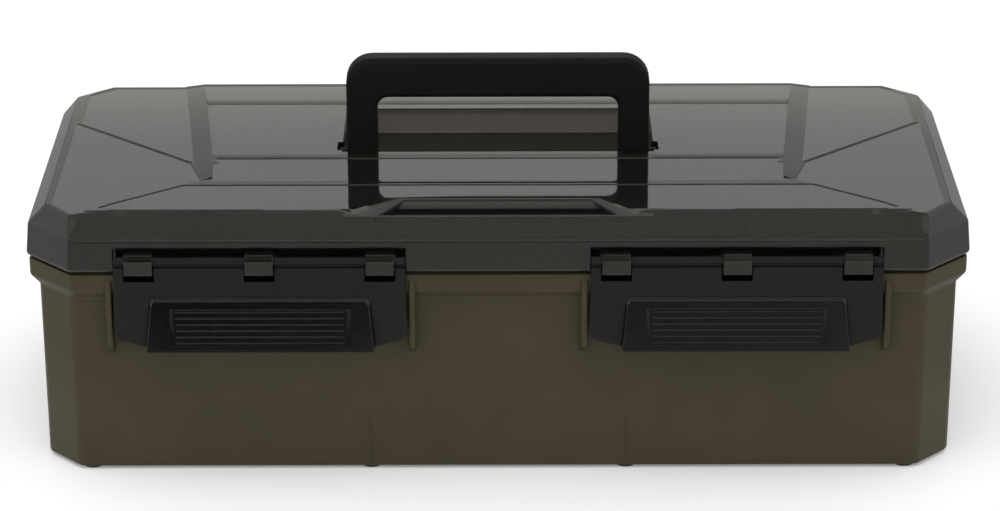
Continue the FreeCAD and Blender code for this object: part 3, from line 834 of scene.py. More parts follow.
@dataclass
class Studio:
    """Camera, floor, sky, lamp, and the cards whose reflections give gloss its tones."""

    camera_y: float = -1416.8
    camera_z: float = 662.8
    pitch_degrees: float = 21.70
    roll_degrees: float = -0.12
    lens: float = 124.08
    sensor_width: float = 36.0
    clip_end_m: float = 60.0
    shift_x: float = 0.00198
    shift_y: float = -0.07
    floor_half: float = 12000.0
    floor_colour: Colour = (0.90, 0.90, 0.895)
    floor_glow: float = 0.17
    floor_spot_mm: float = 400.0
    floor_limits: Plan = (0.3, 0.7)
    floor_lighter: float = 1.01
    floor_roughness: float = 0.9
    sky_strength: float = 0.95
    lamp_power: float = 6.0
    lamp_size_m: Plan = (1.6, 1.2)
    lamp_place_m: Point = (-0.25, -0.55, 1.55)
    lamp_aim_m: Point = (0.0, 0.0, 0.05)
    card_turn: Plan = (-350.0, 450.0)
    cards: tuple[Card, ...] = (
        Card("room_front", (-1900.0, 1900.0), (-2600.0, -2600.0), (2.0, 900.0), (0.02, 0.42)),
        Card("room_back", (-1900.0, 1900.0), (2000.0, 2000.0), (2.0, 420.0), (0.12, 0.12)),
        Card("floor_front", (-1400.0, 1400.0), (-2600.0, -200.0), (2.0, 2.0), (0.64, 0.64)),
        Card("ceiling", (-2500.0, 2500.0), (-2500.0, 1200.0), (3000.0, 3000.0), (0.8, 0.8)),
        Card("floor_back", (-1400.0, 1400.0), (130.0, 2000.0), (2.0, 2.0), (0.4, 0.4)),
        Card("floor_left", (-1400.0, -260.0), (-200.0, 130.0), (2.0, 2.0), (0.7, 0.7)),
        Card("backdrop_left", (-5000.0, -1140.0), (6000.0, 6000.0), (2.0, 3600.0), (0.7, 0.7)),
        Card("floor_right", (260.0, 1400.0), (-200.0, 130.0), (2.0, 2.0), (0.7, 0.7)),
        Card("backdrop_right", (1140.0, 5000.0), (6000.0, 6000.0), (2.0, 3600.0), (0.7, 0.7)))

    @staticmethod
    def _seen(tree: bpy.types.NodeTree) -> bpy.types.NodeSocket:
        """Tell the rays that should see a white room from the others.

        Args:
            tree: Tree that the nodes are added to.

        Returns:
            Socket that is 1 for rays from the camera, in gloss and through clear plastic, else 0.
        """
        path = tree.nodes.new("ShaderNodeLightPath")
        result = path.outputs["Is Camera Ray"]
        for name in ("Is Glossy Ray", "Is Transmission Ray"):
            larger = tree.nodes.new("ShaderNodeMath")
            larger.operation = "MAXIMUM"
            tree.links.new(result, larger.inputs[0])
            tree.links.new(path.outputs[name], larger.inputs[1])
            result = larger.outputs[0]
        return result

    def camera(self) -> None:
        """Make the camera that stands where the photograph was taken from."""
        data = bpy.data.cameras.new("camera")
        data.lens = self.lens
        data.sensor_width = self.sensor_width
        data.sensor_fit = "HORIZONTAL"
        data.shift_x = self.shift_x
        data.shift_y = self.shift_y
        data.clip_end = self.clip_end_m
        camera = bpy.data.objects.new("camera", data)
        tilt = Matrix.Rotation(math.radians(90 - self.pitch_degrees), 4, "X")
        roll = Matrix.Rotation(math.radians(self.roll_degrees), 4, "Z")
        place = Matrix.Translation((0, self.camera_y * MM, self.camera_z * MM))
        camera.matrix_world = place @ tilt @ roll
        bpy.context.scene.collection.objects.link(camera)
        bpy.context.scene.camera = camera

    def floor(self) -> None:
        """Make the pale floor."""
        half = self.floor_half * MM
        mesh = bpy.data.meshes.new("floor")
        mesh.from_pydata([(-half, -half, 0), (half, -half, 0), (half, half, 0), (-half, half, 0)], [],
                         [(0, 1, 2, 3)])
        graph = Graph("floor_paper")
        tone = graph.noise(self.floor_spot_mm, 2.0).band(*self.floor_limits)
        colour = graph.blend(tone, self.floor_colour, shade(self.floor_colour, self.floor_lighter))
        seen = self._seen(graph.tree)
        glow = graph.node("ShaderNodeEmission", {}, {"Color": (1.0, 1.0, 1.0), "Strength": self.floor_glow})
        paper = graph.node("ShaderNodeBsdfPrincipled", {}, {"Base Color": colour,
                                                            "Roughness": self.floor_roughness})
        bright = graph.node("ShaderNodeAddShader", {}, {0: paper.outputs[0], 1: glow.outputs[0]})
        mix = graph.node("ShaderNodeMixShader", {}, {0: seen, 1: paper.outputs[0], 2: bright.outputs[0]})
        graph.node("ShaderNodeOutputMaterial", {}, {"Surface": mix.outputs[0]})
        mesh.materials.append(graph.material)
        floor = bpy.data.objects.new("floor", mesh)
        bpy.context.scene.collection.objects.link(floor)

    def sky(self) -> None:
        """Make a plain sky that is white wherever it is seen, also in gloss and through clear plastic."""
        world = bpy.data.worlds.new("sky")
        bpy.context.scene.world = world
        world.use_nodes = True
        tree = world.node_tree
        tree.nodes.clear()
        seen = self._seen(tree)
        light = tree.nodes.new("ShaderNodeBackground")
        light.inputs["Strength"].default_value = self.sky_strength
        white = tree.nodes.new("ShaderNodeBackground")
        for background in (light, white):
            background.inputs["Color"].default_value = (1.0, 1.0, 1.0, 1.0)
        mix = tree.nodes.new("ShaderNodeMixShader")
        tree.links.new(seen, mix.inputs[0])
        tree.links.new(light.outputs[0], mix.inputs[1])
        tree.links.new(white.outputs[0], mix.inputs[2])
        end = tree.nodes.new("ShaderNodeOutputWorld")
        tree.links.new(mix.outputs[0], end.inputs["Surface"])

    def lamp(self) -> None:
        """Make one wide soft lamp above and in front of the box."""
        data = bpy.data.lights.new("softbox", "AREA")
        data.shape = "RECTANGLE"
        data.size, data.size_y = self.lamp_size_m
        data.energy = self.lamp_power
        lamp = bpy.data.objects.new("softbox", data)
        lamp.location = self.lamp_place_m
        lamp.rotation_euler = (Vector(self.lamp_aim_m) - lamp.location).to_track_quat("-Z", "Y").to_euler()
        lamp.visible_glossy = False
        lamp.visible_camera = False
        bpy.context.scene.collection.objects.link(lamp)

    def hang(self, card: Card) -> None:
        """Make one card, so that the room is not white all round.

        Args:
            card: Its name, limits and greys.
        """
        mesh = bpy.data.meshes.new(card.name)
        mesh.from_pydata([tuple(value * MM for value in corner) for corner in card.corners()], [],
                         [(0, 1, 2, 3)])
        graph = Graph(card.name)
        share = graph.axis("X").band(self.card_turn[0] * MM, self.card_turn[1] * MM)
        left, right = ((grey, grey, grey) for grey in card.greys)
        mesh.materials.append(graph.close({"Base Color": graph.blend(share, left, right), "Roughness": 1.0,
                                           "Specular IOR Level": 0.0}))
        made = bpy.data.objects.new(card.name, mesh)
        made.visible_camera = False
        made.visible_diffuse = False
        made.visible_transmission = False
        made.visible_shadow = False
        bpy.context.scene.collection.objects.link(made)

    def build(self) -> None:
        """Make the whole studio."""
        bpy.context.scene.view_settings.view_transform = "Standard"
        self.camera()
        self.floor()
        self.sky()
        self.lamp()
        for card in self.cards:
            self.hang(card)
        log.info("studio ready")


# Forms that repeat, made with geometry nodes


class NodeForm:
    """Geometry node tree with named inputs, run once on points to give a shell."""

    def __init__(self, name: str, sizes: Mapping[str, str]) -> None:
        """Make a tree with a geometry input and output and the named inputs.

        Args:
            name: Name of the tree.
            sizes: Name of each further input to its socket type.
        """
        self.tree = bpy.data.node_groups.new(name, "GeometryNodeTree")
        self.keys: dict[str, str] = {}
        for label, kind in {"Geometry": "NodeSocketGeometry", **sizes,
                            "Finish": "NodeSocketMaterial"}.items():
            made = self.tree.interface.new_socket(label, in_out="INPUT", socket_type=kind)
            self.keys[label] = made.identifier
        self.tree.interface.new_socket("Geometry", in_out="OUTPUT", socket_type="NodeSocketGeometry")
        self.start = self.tree.nodes.new("NodeGroupInput")

    def node(self, kind: str, settings: Mapping[str, Any] | None = None,
             inputs: Mapping[Any, Any] | None = None) -> bpy.types.Node:
        """Add a node, set its settings, then fill its sockets.

        Args:
            kind: Node type's identifier.
            settings: Attributes of the node.
            inputs: Socket name or number to a value, an output socket or the name of a tree input.

        Returns:
            The new node.
        """
        made = self.tree.nodes.new(kind)
        for key, value in (settings or {}).items():
            setattr(made, key, value)
        for key, value in (inputs or {}).items():
            if isinstance(value, str):
                value = self.start.outputs[value]
            if isinstance(value, bpy.types.NodeSocket):
                self.tree.links.new(value, made.inputs[key])
            else:
                made.inputs[key].default_value = value
        return made

    def end(self, geometry: bpy.types.NodeSocket) -> None:
        """Close the tree with real geometry in one material.

        Args:
            geometry: What the tree has made.
        """
        real = self.node("GeometryNodeRealizeInstances", {}, {0: geometry})
        painted = self.node("GeometryNodeSetMaterial", {}, {0: real.outputs[0], "Material": "Finish"})
        end = self.tree.nodes.new("NodeGroupOutput")
        self.tree.links.new(painted.outputs[0], end.inputs[0])

    def run(self, points: Sequence[Point], values: Mapping[str, Any]) -> "Shell":
        """Run the tree on points in millimetres.

        Args:
            points: Vertices that the tree starts from.
            values: Value of each named input.

        Returns:
            The made geometry as a shell.
        """
        mesh = bpy.data.meshes.new("places")
        mesh.from_pydata(points, [], [])
        carrier = bpy.data.objects.new("places", mesh)
        bpy.context.scene.collection.objects.link(carrier)
        modifier = carrier.modifiers.new("form", "NODES")
        modifier.node_group = self.tree
        for name, value in values.items():
            modifier[self.keys[name]] = value
        carrier.update_tag()
        bpy.context.view_layer.update()
        ready = carrier.evaluated_get(bpy.context.evaluated_depsgraph_get())
        made = bpy.data.meshes.new_from_object(ready)
        result = bmesh.new()
        result.from_mesh(made)
        bpy.data.objects.remove(carrier)
        bpy.data.meshes.remove(made)
        bpy.data.meshes.remove(mesh)
        return Shell(result)


def repeated(template: Shell, places: Sequence[Point], finish: bpy.types.Material) -> Shell:
    """Copies of one shell at several places.

    Args:
        template: Shell about its own origin.
        places: Where the copies go.
        finish: Material of the copies.

    Returns:
        All copies as separate closed parts of one shell.
    """
    form = NodeForm("repeat_at_places", {"Template": "NodeSocketObject"})
    shape = form.node("GeometryNodeObjectInfo", {"transform_space": "ORIGINAL"}, {"Object": "Template"})
    copies = form.node("GeometryNodeInstanceOnPoints", {},
                       {"Points": "Geometry", "Instance": shape.outputs["Geometry"]})
    form.end(copies.outputs[0])
    model = bpy.data.objects.new("template", template.plain_mesh())
    bpy.context.scene.collection.objects.link(model)
    result = form.run(places, {"Template": model, "Finish": finish})
    spare = model.data
    bpy.data.objects.remove(model)
    bpy.data.meshes.remove(spare)
    return result


# Sub-assemblies


@dataclass
class Tub:
    """Moulded tub with a flange, guard ribs, catches, divider channels and rear knuckles."""

    half_x: float = 195.6
    half_y: float = 81.6
    corner_cut: float = 15.5
    corner_radius: float = 6.0
    guard_soft: float = 0.55
    catch_soft: float = 0.4
    rib_soft: float = 0.5
    line_soft: float = 0.2
    web_soft: float = 0.25
    least_radius: float = 0.8
    corner_steps: int = 5
    draft: float = 0.4
    foot_round: tuple[Plan, ...] = ((1.5, 0.0), (0.75, 0.2), (0.2, 0.75), (0.0, 1.5))
    crest_round: tuple[Plan, ...] = ((0.02, -0.9), (-0.12, -0.2))
    slope_shares: Plan = (0.12, 0.88)
    flange_foot: tuple[Plan, ...] = ((0.12, 0.2), (0.0, 0.9))
    flange_round: tuple[Plan, ...] = ((0.0, -0.7), (0.2, -0.2), (0.7, 0.0))
    mouth_round: tuple[Plan, ...] = ((-0.4, 0.0), (-0.1, -0.12), (0.0, -0.5))
    floor_round: tuple[Plan, ...] = ((0.38, 2.0), (0.9, 0.6), (2.2, 0.0))
    base_z: float = 1.2
    wall_top_z: float = 81.0
    wall: float = 3.0
    floor_z: float = 4.2
    flange_half_x: float = 199.6
    flange_half_y: float = 85.6
    flange_cut: float = 20.0
    flange_radius: float = 3.0
    flange_foot_z: float = 85.0
    flange_top_z: float = 92.7
    groove_outer: float = 2.1
    groove_inner: float = 5.1
    groove_floor_z: float = 90.7
    foot_seat: float = 1.3
    foot_radius: float = 4.6
    guard_inner: float = 62.6
    guard_thickness: float = 2.6
    guard: tuple[Plan, ...] = ((-80.1, 55.5), (-81.6, 55.5), (-87.4, 60.0), (-87.4, 88.7), (-85.6, 90.5),
                               (-80.1, 90.5))
    latch_x: float = 100.2
    catch_half: float = 26.0
    catch_y: Plan = (-85.2, -81.1)
    catch_z: Plan = (77.2, 85.2)
    channel_half_gap: float = 1.3
    channel_rib: float = 2.0
    channel_reach: float = 3.0
    channel_top_z: float = 78.5
    root: float = 0.5
    divider_x: tuple[float, ...] = (-114.0, -38.0, 38.0, 114.0)
    hinge_x: float = 105.0
    hinge_y: float = 91.0
    hinge_z: float = 93.05
    barrel_radius: float = 4.0
    pin_radius: float = 1.5
    knuckle_near: float = 11.4
    knuckle_far: float = 23.4
    web: tuple[Plan, ...] = ((84.2, 92.7), (84.2, 86.2), (91.0, 89.05), (91.0, 92.7))
    line_x: tuple[float, ...] = (-54.8, 54.8)
    line_half: float = 0.45
    line_reach: Plan = (-0.1, 0.6)
    line_z: Plan = (3.6, 24.0)
    foot_places: tuple[Point, ...] = tuple((x, y, 0.0) for y in (-75.5, 75.5)
                                           for x in (-175.0, -54.768, 54.768, 175.0))

    def ring(self, share: float, inset: float, z: float) -> list[Point]:
        """Outline of the tub at one height.

        Args:
            share: 0 on the wall, 1 on the flange, and between them on the slope.
            inset: Distance inwards from there.
            z: Height.

        Returns:
            Points of the rounded eight-sided outline.
        """
        half_x = self.half_x + (self.flange_half_x - self.half_x) * share - inset
        half_y = self.half_y + (self.flange_half_y - self.half_y) * share - inset
        cut = inset_cut(self.corner_cut + (self.flange_cut - self.corner_cut) * share, inset)
        radius = self.corner_radius + (self.flange_radius - self.corner_radius) * share - inset
        corners = cut_rectangle(half_x, half_y, cut)
        return at_level(rounded(corners, max(radius, self.least_radius), self.corner_steps), z)

    def cup(self) -> Shell:
        """Skin the wall, flange, seal groove and floor in one, with rounded edges.

        Returns:
            The tub without its ribs.
        """
        top, wall, slope = self.flange_top_z, self.wall, self.flange_foot_z - self.wall_top_z
        levels = [(0.0, self.draft + inset, self.base_z + rise) for inset, rise in self.foot_round]
        levels += [(0.0, inset, self.wall_top_z + rise) for inset, rise in self.crest_round]
        levels += [(share, 0.0, self.wall_top_z + slope * share) for share in self.slope_shares]
        levels += [(1.0, inset, self.flange_foot_z + rise) for inset, rise in self.flange_foot]
        levels += [(1.0, inset, top + rise) for inset, rise in self.flange_round]
        levels += [(1.0, self.groove_outer, top), (1.0, self.groove_outer, self.groove_floor_z),
                   (1.0, self.groove_inner, self.groove_floor_z), (1.0, self.groove_inner, top)]
        levels += [(0.0, wall + inset, top + rise) for inset, rise in self.mouth_round]
        levels += [(0.0, wall + inset, self.floor_z + rise) for inset, rise in self.floor_round]
        return Shell.loft([self.ring(*level) for level in levels])

    def ribs(self, finish: bpy.types.Material) -> list[Shell]:
        """Make the guard ribs, catches, channel ribs and the two faint upright lines in front.

        Args:
            finish: Material of the tub.

        Returns:
            One shell for each kind of rib.
        """
        half = self.guard_thickness / 2
        guard = Shell.along_x(self.guard, -half, half).softened(self.guard_soft, 3)
        reach = self.guard_inner + half
        guards = repeated(guard, [(side * self.latch_x + step, 0, 0) for side in SIGNS
                                  for step in (-reach, reach)], finish)
        catch = Shell.box((-self.catch_half, self.catch_half), self.catch_y, self.catch_z)
        catches = repeated(catch.softened(self.catch_soft, 2),
                           [(side * self.latch_x, 0, 0) for side in SIGNS], finish)
        inner = self.half_y - self.wall
        rib = Shell.box((0, self.channel_rib), (-self.channel_reach, self.root),
                        (self.floor_z - self.root, self.channel_top_z)).softened(self.rib_soft, 2)
        turned = rib.turned_about_z()
        steps = (-self.channel_half_gap - self.channel_rib, self.channel_half_gap)
        back = repeated(rib, [(x + step, inner, 0) for x in self.divider_x for step in steps], finish)
        front = repeated(turned, [(x + step + self.channel_rib, -inner, 0) for x in self.divider_x
                                  for step in steps], finish)
        depth = tuple(place - self.half_y for place in self.line_reach)
        line = Shell.box((-self.line_half, self.line_half), depth, self.line_z)
        lines = repeated(line.softened(self.line_soft, 1), [(x, 0, 0) for x in self.line_x], finish)
        return [guards, catches, back, front, lines]

    def knuckles(self, finish: bpy.types.Material) -> Shell:
        """Make the outer knuckles of the rear hinges, with their webs.

        Args:
            finish: Material of the tub.

        Returns:
            All four knuckles.
        """
        half, centre = (self.knuckle_far - self.knuckle_near) / 2, (self.hinge_y, self.hinge_z)
        barrel = Shell.rod(self.barrel_radius, (-half, half), centre, FINE_ROUND)
        web = Shell.along_x(self.web, -half, half).softened(self.web_soft, 1)
        bore = Shell.rod(self.pin_radius, (-half - OVER, half + OVER), centre)
        knuckle = barrel.combined(Join.ADD, [web]).combined(Join.CUT, [bore])
        middle = (self.knuckle_near + self.knuckle_far) / 2
        return repeated(knuckle, [(side * self.hinge_x + step, 0, 0) for side in SIGNS
                                  for step in (-middle, middle)], finish)

    def build(self, finish: bpy.types.Material) -> None:
        """Make the tub and hang it on the body.

        Args:
            finish: Material of the tub.
        """
        seat = Shell.upright(circle(self.foot_radius), -OVER, self.base_z + self.foot_seat)
        cup = self.cup().combined(Join.CUT, [repeated(seat, self.foot_places, finish)])
        shell = cup.combined(Join.ADD, [*self.ribs(finish), self.knuckles(finish)])
        settle(shell.finished("tub_moulding", finish), "body", ["body_tub"])


@dataclass
class Feet:
    """Eight round rubber feet pushed into the tub's floor."""

    radius: float = 4.6
    height: float = 2.5
    edge: float = 0.6
    edge_share: float = 0.3
    dimple: tuple[Plan, ...] = ((1.9, -0.1), (1.6, 0.25))
    places: tuple[Point, ...] = Tub.foot_places

    def build(self, finish: bpy.types.Material) -> None:
        """Make all feet as one piece on the body.

        Args:
            finish: Material of the feet.
        """
        soft = self.edge * self.edge_share
        levels = [(self.radius - self.edge, 0.0), (self.radius - soft, soft), (self.radius, self.edge),
                  (self.radius, self.height)]
        foot, dimple = (Shell.loft([at_level(circle(size), z) for size, z in profile])
                        for profile in (levels, self.dimple))
        feet = repeated(foot.combined(Join.CUT, [dimple]), self.places, finish)
        nodes = [f"foot_{row}_{column}" for row in ("front", "rear")
                 for column in ("outer_left", "inner_left", "inner_right", "outer_right")]
        settle(feet.finished("rubber_feet", finish), "body", nodes)


@dataclass
class Handle:
    """U-shaped carry handle with bevelled edges, upright on its two discs."""

    half_width: float = 66.2
    leg: float = 13.5
    bar: float = 18.1
    half_thick: float = 6.0
    top_z: float = 160.2
    axis_z: float = 112.1
    outer_radius: float = 11.5
    inner_radius: float = 5.0
    bevel: float = 2.2
    bevel_share: float = 0.8
    soft_share: float = 0.22
    bulge_share: float = 0.55
    least_thick: float = 0.35
    arc_steps: int = 8
    disc_radius: float = 4.7
    disc_x: Plan = (60.0, 70.0)
    pin_radius: float = 2.06
    bore_x: Plan = (55.6, 72.0)

    def stations(self) -> list[tuple[Plan, Plan, float]]:
        """Find the sections from the right leg's foot to the left leg's.

        Returns:
            Inner and outer point in X and Z of each section, with its half thickness.
        """
        outer_x, inner_x = self.half_width, self.half_width - self.leg
        inner_z = self.top_z - self.bar
        half = []
        for step in range(self.arc_steps + 1):
            turn = math.pi / 2 * (1 - step / self.arc_steps)
            z = self.axis_z - self.half_thick * math.sin(turn)
            thick = self.half_thick * math.cos(turn)
            half.append(((inner_x, z), (outer_x, z), max(thick, self.least_thick)))
        for step in range(self.arc_steps + 1):
            turn = math.pi / 2 * step / self.arc_steps
            inner = (inner_x - self.inner_radius * (1 - math.cos(turn)),
                     inner_z - self.inner_radius * (1 - math.sin(turn)))
            outer = (outer_x - self.outer_radius * (1 - math.cos(turn)),
                     self.top_z - self.outer_radius * (1 - math.sin(turn)))
            half.append((inner, outer, self.half_thick))
        left = [((-inner[0], inner[1]), (-outer[0], outer[1]), thick)
                for inner, outer, thick in reversed(half)]
        return half + left

    def section(self, inner: Plan, outer: Plan, thick: float) -> list[Point]:
        """Draw the bevelled outline across the handle.

        Args:
            inner: Inner edge in X and Z.
            outer: Outer edge in X and Z.
            thick: Half thickness along Y.

        Returns:
            Sixteen points, four for each corner.
        """
        low, high = Vector(inner), Vector(outer)
        width = (high - low).length
        along = (high - low) / width
        cut = min(self.bevel, thick * self.bevel_share)
        soft = cut * self.soft_share
        corner = [(cut + soft, 0.0), (cut - soft, soft * self.bulge_share),
                  (soft * self.bulge_share, cut - soft), (0.0, cut + soft)]
        ring = [(u, v - thick) for u, v in corner]
        ring += [(u, thick - v) for u, v in reversed(corner)]
        ring += [(width - u, thick - v) for u, v in corner]
        ring += [(width - u, v - thick) for u, v in reversed(corner)]
        return [(low.x + along.x * u, y, low.y + along.y * u) for u, y in ring]

    def side_rods(self, radius: float, reach: Plan, chamfer: float = 0.0) -> list[Shell]:
        """Make a rod on each side, on the handle's axis.

        Args:
            radius: Radius of the rods.
            reach: Their two ends, as distances from the middle.
            chamfer: Size of the chamfer at both ends.

        Returns:
            The left rod and the right one.
        """
        return [Shell.rod(radius, tuple(sorted(side * end for end in reach)), (0.0, self.axis_z), chamfer)
                for side in SIGNS]

    def build(self, finish: bpy.types.Material) -> None:
        """Make the handle and hang it on its own body.

        Args:
            finish: Material of the handle.
        """
        bail = Shell.loft([self.section(*station) for station in self.stations()])
        shell = bail.combined(Join.ADD, self.side_rods(self.disc_radius, self.disc_x, 0.5))
        shell = shell.combined(Join.CUT, self.side_rods(self.pin_radius, self.bore_x))
        settle(shell.finished("carry_handle", finish), "handle", ["handle"])


@dataclass
class Lid:
    """Smoked lid: rim, steep shoulder, shallow fields, recess, finger notch, latch pockets and hooks."""

    half_x: float = 200.6
    half_y: float = 86.0
    corner_cut: float = 20.0
    ridge_end: float = 177.0
    ridge_slant: float = 3.0
    base_z: float = 93.4
    rim_z: float = 108.9
    lip: float = 1.4
    rim_draft: float = 1.2
    front_drop: float = 1.1
    wall: float = 2.4
    edge: float = 0.85
    shoulder_rise: float = 7.4
    back_shoulder_rise: float = 7.75
    crown_rise: float = 8.6
    front_shoulder_in: float = 8.9
    front_crown_in: float = 10.9
    shoulder: tuple[Plan, ...] = ((180.2, -78.6), (191.9, -63.4), (192.4, 67.4), (177.4, 79.7))
    crown: tuple[Plan, ...] = ((178.6, -75.7), (189.6, -64.4), (188.2, 63.2), (175.0, 74.1))
    ridge_rise: float = 8.6
    front_rise: float = 7.8
    side_rise: float = 8.1
    strip_rise: float = 8.35
    middle_rise: float = 8.95
    back_rise: float = 9.7
    plateau_back: tuple[Plan, Plan] = ((80.1, 8.85), (74.5, 9.7))
    plateau_side: tuple[Plan, ...] = ((134.0, -45.0), (134.0, -43.2), (127.2, -39.2), (123.7, -36.0),
                                      (124.4, -17.2), (131.5, 50.4), (135.4, 75.0), (135.8, 80.1))
    ramp: tuple[tuple[float, float, float, float, float, float], ...] = (
        (144.1, 80.1, 7.7, 135.2, 80.1, 8.85), (143.6, 74.5, 8.55, 134.8, 74.5, 9.7),
        (133.8, -19.0, 8.45, 123.9, -19.0, 9.6), (127.7, -39.7, 8.3, 123.0, -36.4, 8.95))
    middle_cut: tuple[Plan, ...] = ((122.0, -41.0), (122.0, -17.0), (129.5, 50.0), (133.0, 72.0))
    middle_sink: float = 0.6
    strip_edge: tuple[Plan, Plan] = ((192.2, 7.4), (186.4, 8.6))
    strip_reach: Plan = (6.0, 20.0)
    strip_y: Plan = (-66.0, 70.0)
    cutter_reach: float = 20.0
    cutter_rise: float = 12.0
    ridge_flat: float = 1.3
    ridge_foot: float = 2.5
    ridge_soft: float = 0.4
    groove_width: float = 0.9
    groove_depth: float = 0.55
    groove_over: float = 0.6
    groove_reach: float = 0.37
    foot_share: float = 0.4
    ridge_groove_x: Plan = (99.0, 164.0)
    ridge_groove_in: float = 0.2
    ridge_groove_sink: float = 0.1
    back_line: Plan = (131.2, 52.6)
    strip_back: Plan = (122.6, -14.2)
    strip_front: Plan = (135.0, -44.1)
    step_run: float = 4.2
    side_line: Plan = (188.2, 29.7)
    side_line_inner: Plan = (133.8, -18.7)
    corner_line: Plan = (164.6, -66.0)
    front_end: float = 168.5
    roof_rise: float = 5.6
    roof_side_in: float = 7.4
    roof_front_in: float = 10.6
    land_in: float = 1.2
    land_reach: float = 5.2
    finger_rise: Plan = (6.75, 9.9)
    finger_front: float = 2.0
    finger_low: tuple[float, Plan] = (67.4, (41.0, -60.6))
    finger_high: tuple[float, Plan] = (95.0, (47.0, -54.6))
    facet: tuple[Plan, ...] = ((-75.5, 113.2), (-62.4, 113.2), (-59.4, 115.75), (-59.4, 117.0),
                               (-75.5, 117.0))
    cheek_slope: float = 0.64
    slot: tuple[Plan, Plan] = ((51.5, -75.5), (43.0, -62.4))
    slot_z: Plan = (111.2, 113.6)
    finger_block: tuple[Plan, Plan] = ((-53.0, 53.0), (-77.0, -60.8))
    finger_block_z: float = 109.8
    recess_half: float = 68.0
    recess_y: Plan = (-6.6, 49.2)
    recess_z: float = 105.5
    recess_top: float = 120.0
    recess_chamfer: float = 0.5
    recess_over: float = 0.6
    mouth_foot: float = 4.0
    well_foot: float = 0.5
    well_soft: float = 0.6
    boss_chamfer: float = 0.4
    recess_lip: Plan = (47.4, 117.1)
    notch_half: float = 70.6
    notch_half_y: float = 5.1
    boss: float = 4.0
    boss_radius: float = 4.5
    axis_z: float = 112.1
    pin_radius: float = 2.0
    pin_x: float = 76.0
    latch_x: float = 100.2
    pocket_half: float = 61.7
    pocket_top_z: float = 103.1
    pocket_round: float = 2.7
    pocket_lip: float = 0.9
    pocket_reach: float = 4.0
    pocket_block_z: float = 107.0
    arc_steps: int = 8
    pocket_y: float = -81.8
    bar_y: float = -87.2
    bar_z: float = 99.9
    hook_half: float = 6.0
    hook_step: float = 50.6
    hook_inner: float = 1.73
    hook_outer: float = 3.23
    hook_drop: float = 5.4
    hook_root: float = 0.5
    hook_top_in: float = 1.3
    hook_bend: Plan = (0.6, 0.3)
    hook_lip: float = 0.3
    hook_soft: float = 2.0
    hook_sides: int = 48
    hinge_x: float = 105.0
    hinge_y: float = 91.0
    hinge_z: float = 93.05
    barrel_radius: float = 4.0
    hinge_bore: float = 1.55
    knuckle_half: float = 11.0
    web: tuple[Plan, ...] = ((84.2, 93.4), (84.2, 99.9), (91.0, 97.05), (91.0, 93.4))
    smooth_degrees: float = 40.0
    facet_degrees: float = 2.0
    matt_and_painted_light_parts: tuple[MattPart, ...] = (
        # Back wall of the handle's well: matt, and its light colour is painted light for the glow of light
        # shining through the lid.
        MattPart((-69.5, 48.4, 106.0), (69.5, 51.0, 116.7), (0.19, 0.175, 0.147), 0.9),
        MattPart((-71.5, -6.4, 105.2), (71.5, 48.2, 106.3), (0.10, 0.092, 0.077), 0.1),
        # Finger notch's facet and the strip below it: matt greys that darken step by step towards the slot,
        # painted shade on a matt surface.
        MattPart((-65.0, -76.3, 115.1), (65.0, -59.2, 116.2), (0.0215, 0.0212, 0.0185), 0.95),
        MattPart((-52.0, -63.6, 113.15), (52.0, -61.0, 115.1), (0.016, 0.0158, 0.0138), 0.95),
        # Finger slot: near-black matt, painted shadow in its deep gap.
        MattPart((-54.0, -77.2, 110.6), (54.0, -61.0, 113.1), (0.002, 0.002, 0.002), 0.95))

    def outline(self, side_in: float, front_in: float, ridge_end: float) -> list[Plan]:
        """Draw the lid's plan, with the front side set back by its own amount.

        Args:
            side_in: Distance inwards from the sides.
            front_in: Distance inwards from the front.
            ridge_end: Half length of the front side.

        Returns:
            Ten points round the lid.
        """
        half_x, half_y = self.half_x - side_in, self.half_y - side_in
        cut = inset_cut(self.corner_cut, side_in)
        return both_ways([(ridge_end, -self.half_y + front_in), (half_x - cut, -half_y),
                          (half_x, -half_y + cut), (half_x, half_y - cut), (half_x - cut, half_y)])

    def ring(self, half: Sequence[Point]) -> list[Point]:
        """Ten points round the lid from the five on its right side."""
        return [*half, *((-x, y, z) for x, y, z in reversed(half))]

    def outer(self) -> Shell:
        """Make the lip, rim, steep shoulder and crown in one block, with the crown cut down in front.

        Returns:
            The solid block.
        """
        crest, draft, rim = self.ridge_end - self.ridge_slant, self.rim_draft, self.rim_z
        rings = [at_level(self.outline(inset, inset, self.ridge_end), z) for inset, z in (
            (self.lip, self.base_z), (0.0, self.base_z + self.lip), (draft, rim))]
        rings[-1] = [(x, y, z - self.front_drop if abs(x) <= self.ridge_end else z) for x, y, z in rings[-1]]
        front = -self.half_y + draft
        levels = (self.shoulder_rise, self.shoulder_rise, self.back_shoulder_rise, self.back_shoulder_rise)
        shoulder = [(x, y, rim + rise) for (x, y), rise in zip(self.shoulder, levels)]
        corner = (crest, front + self.front_shoulder_in, rim + self.shoulder_rise)
        rings.append(self.ring([corner, *shoulder]))
        crown = [(crest, front + self.front_crown_in), *self.crown]
        rings.append(self.ring(at_level(crown, rim + self.crown_rise)))
        block = Shell.loft(rings).softened(self.edge, 3)
        return block.combined(Join.CUT, self.lowered())

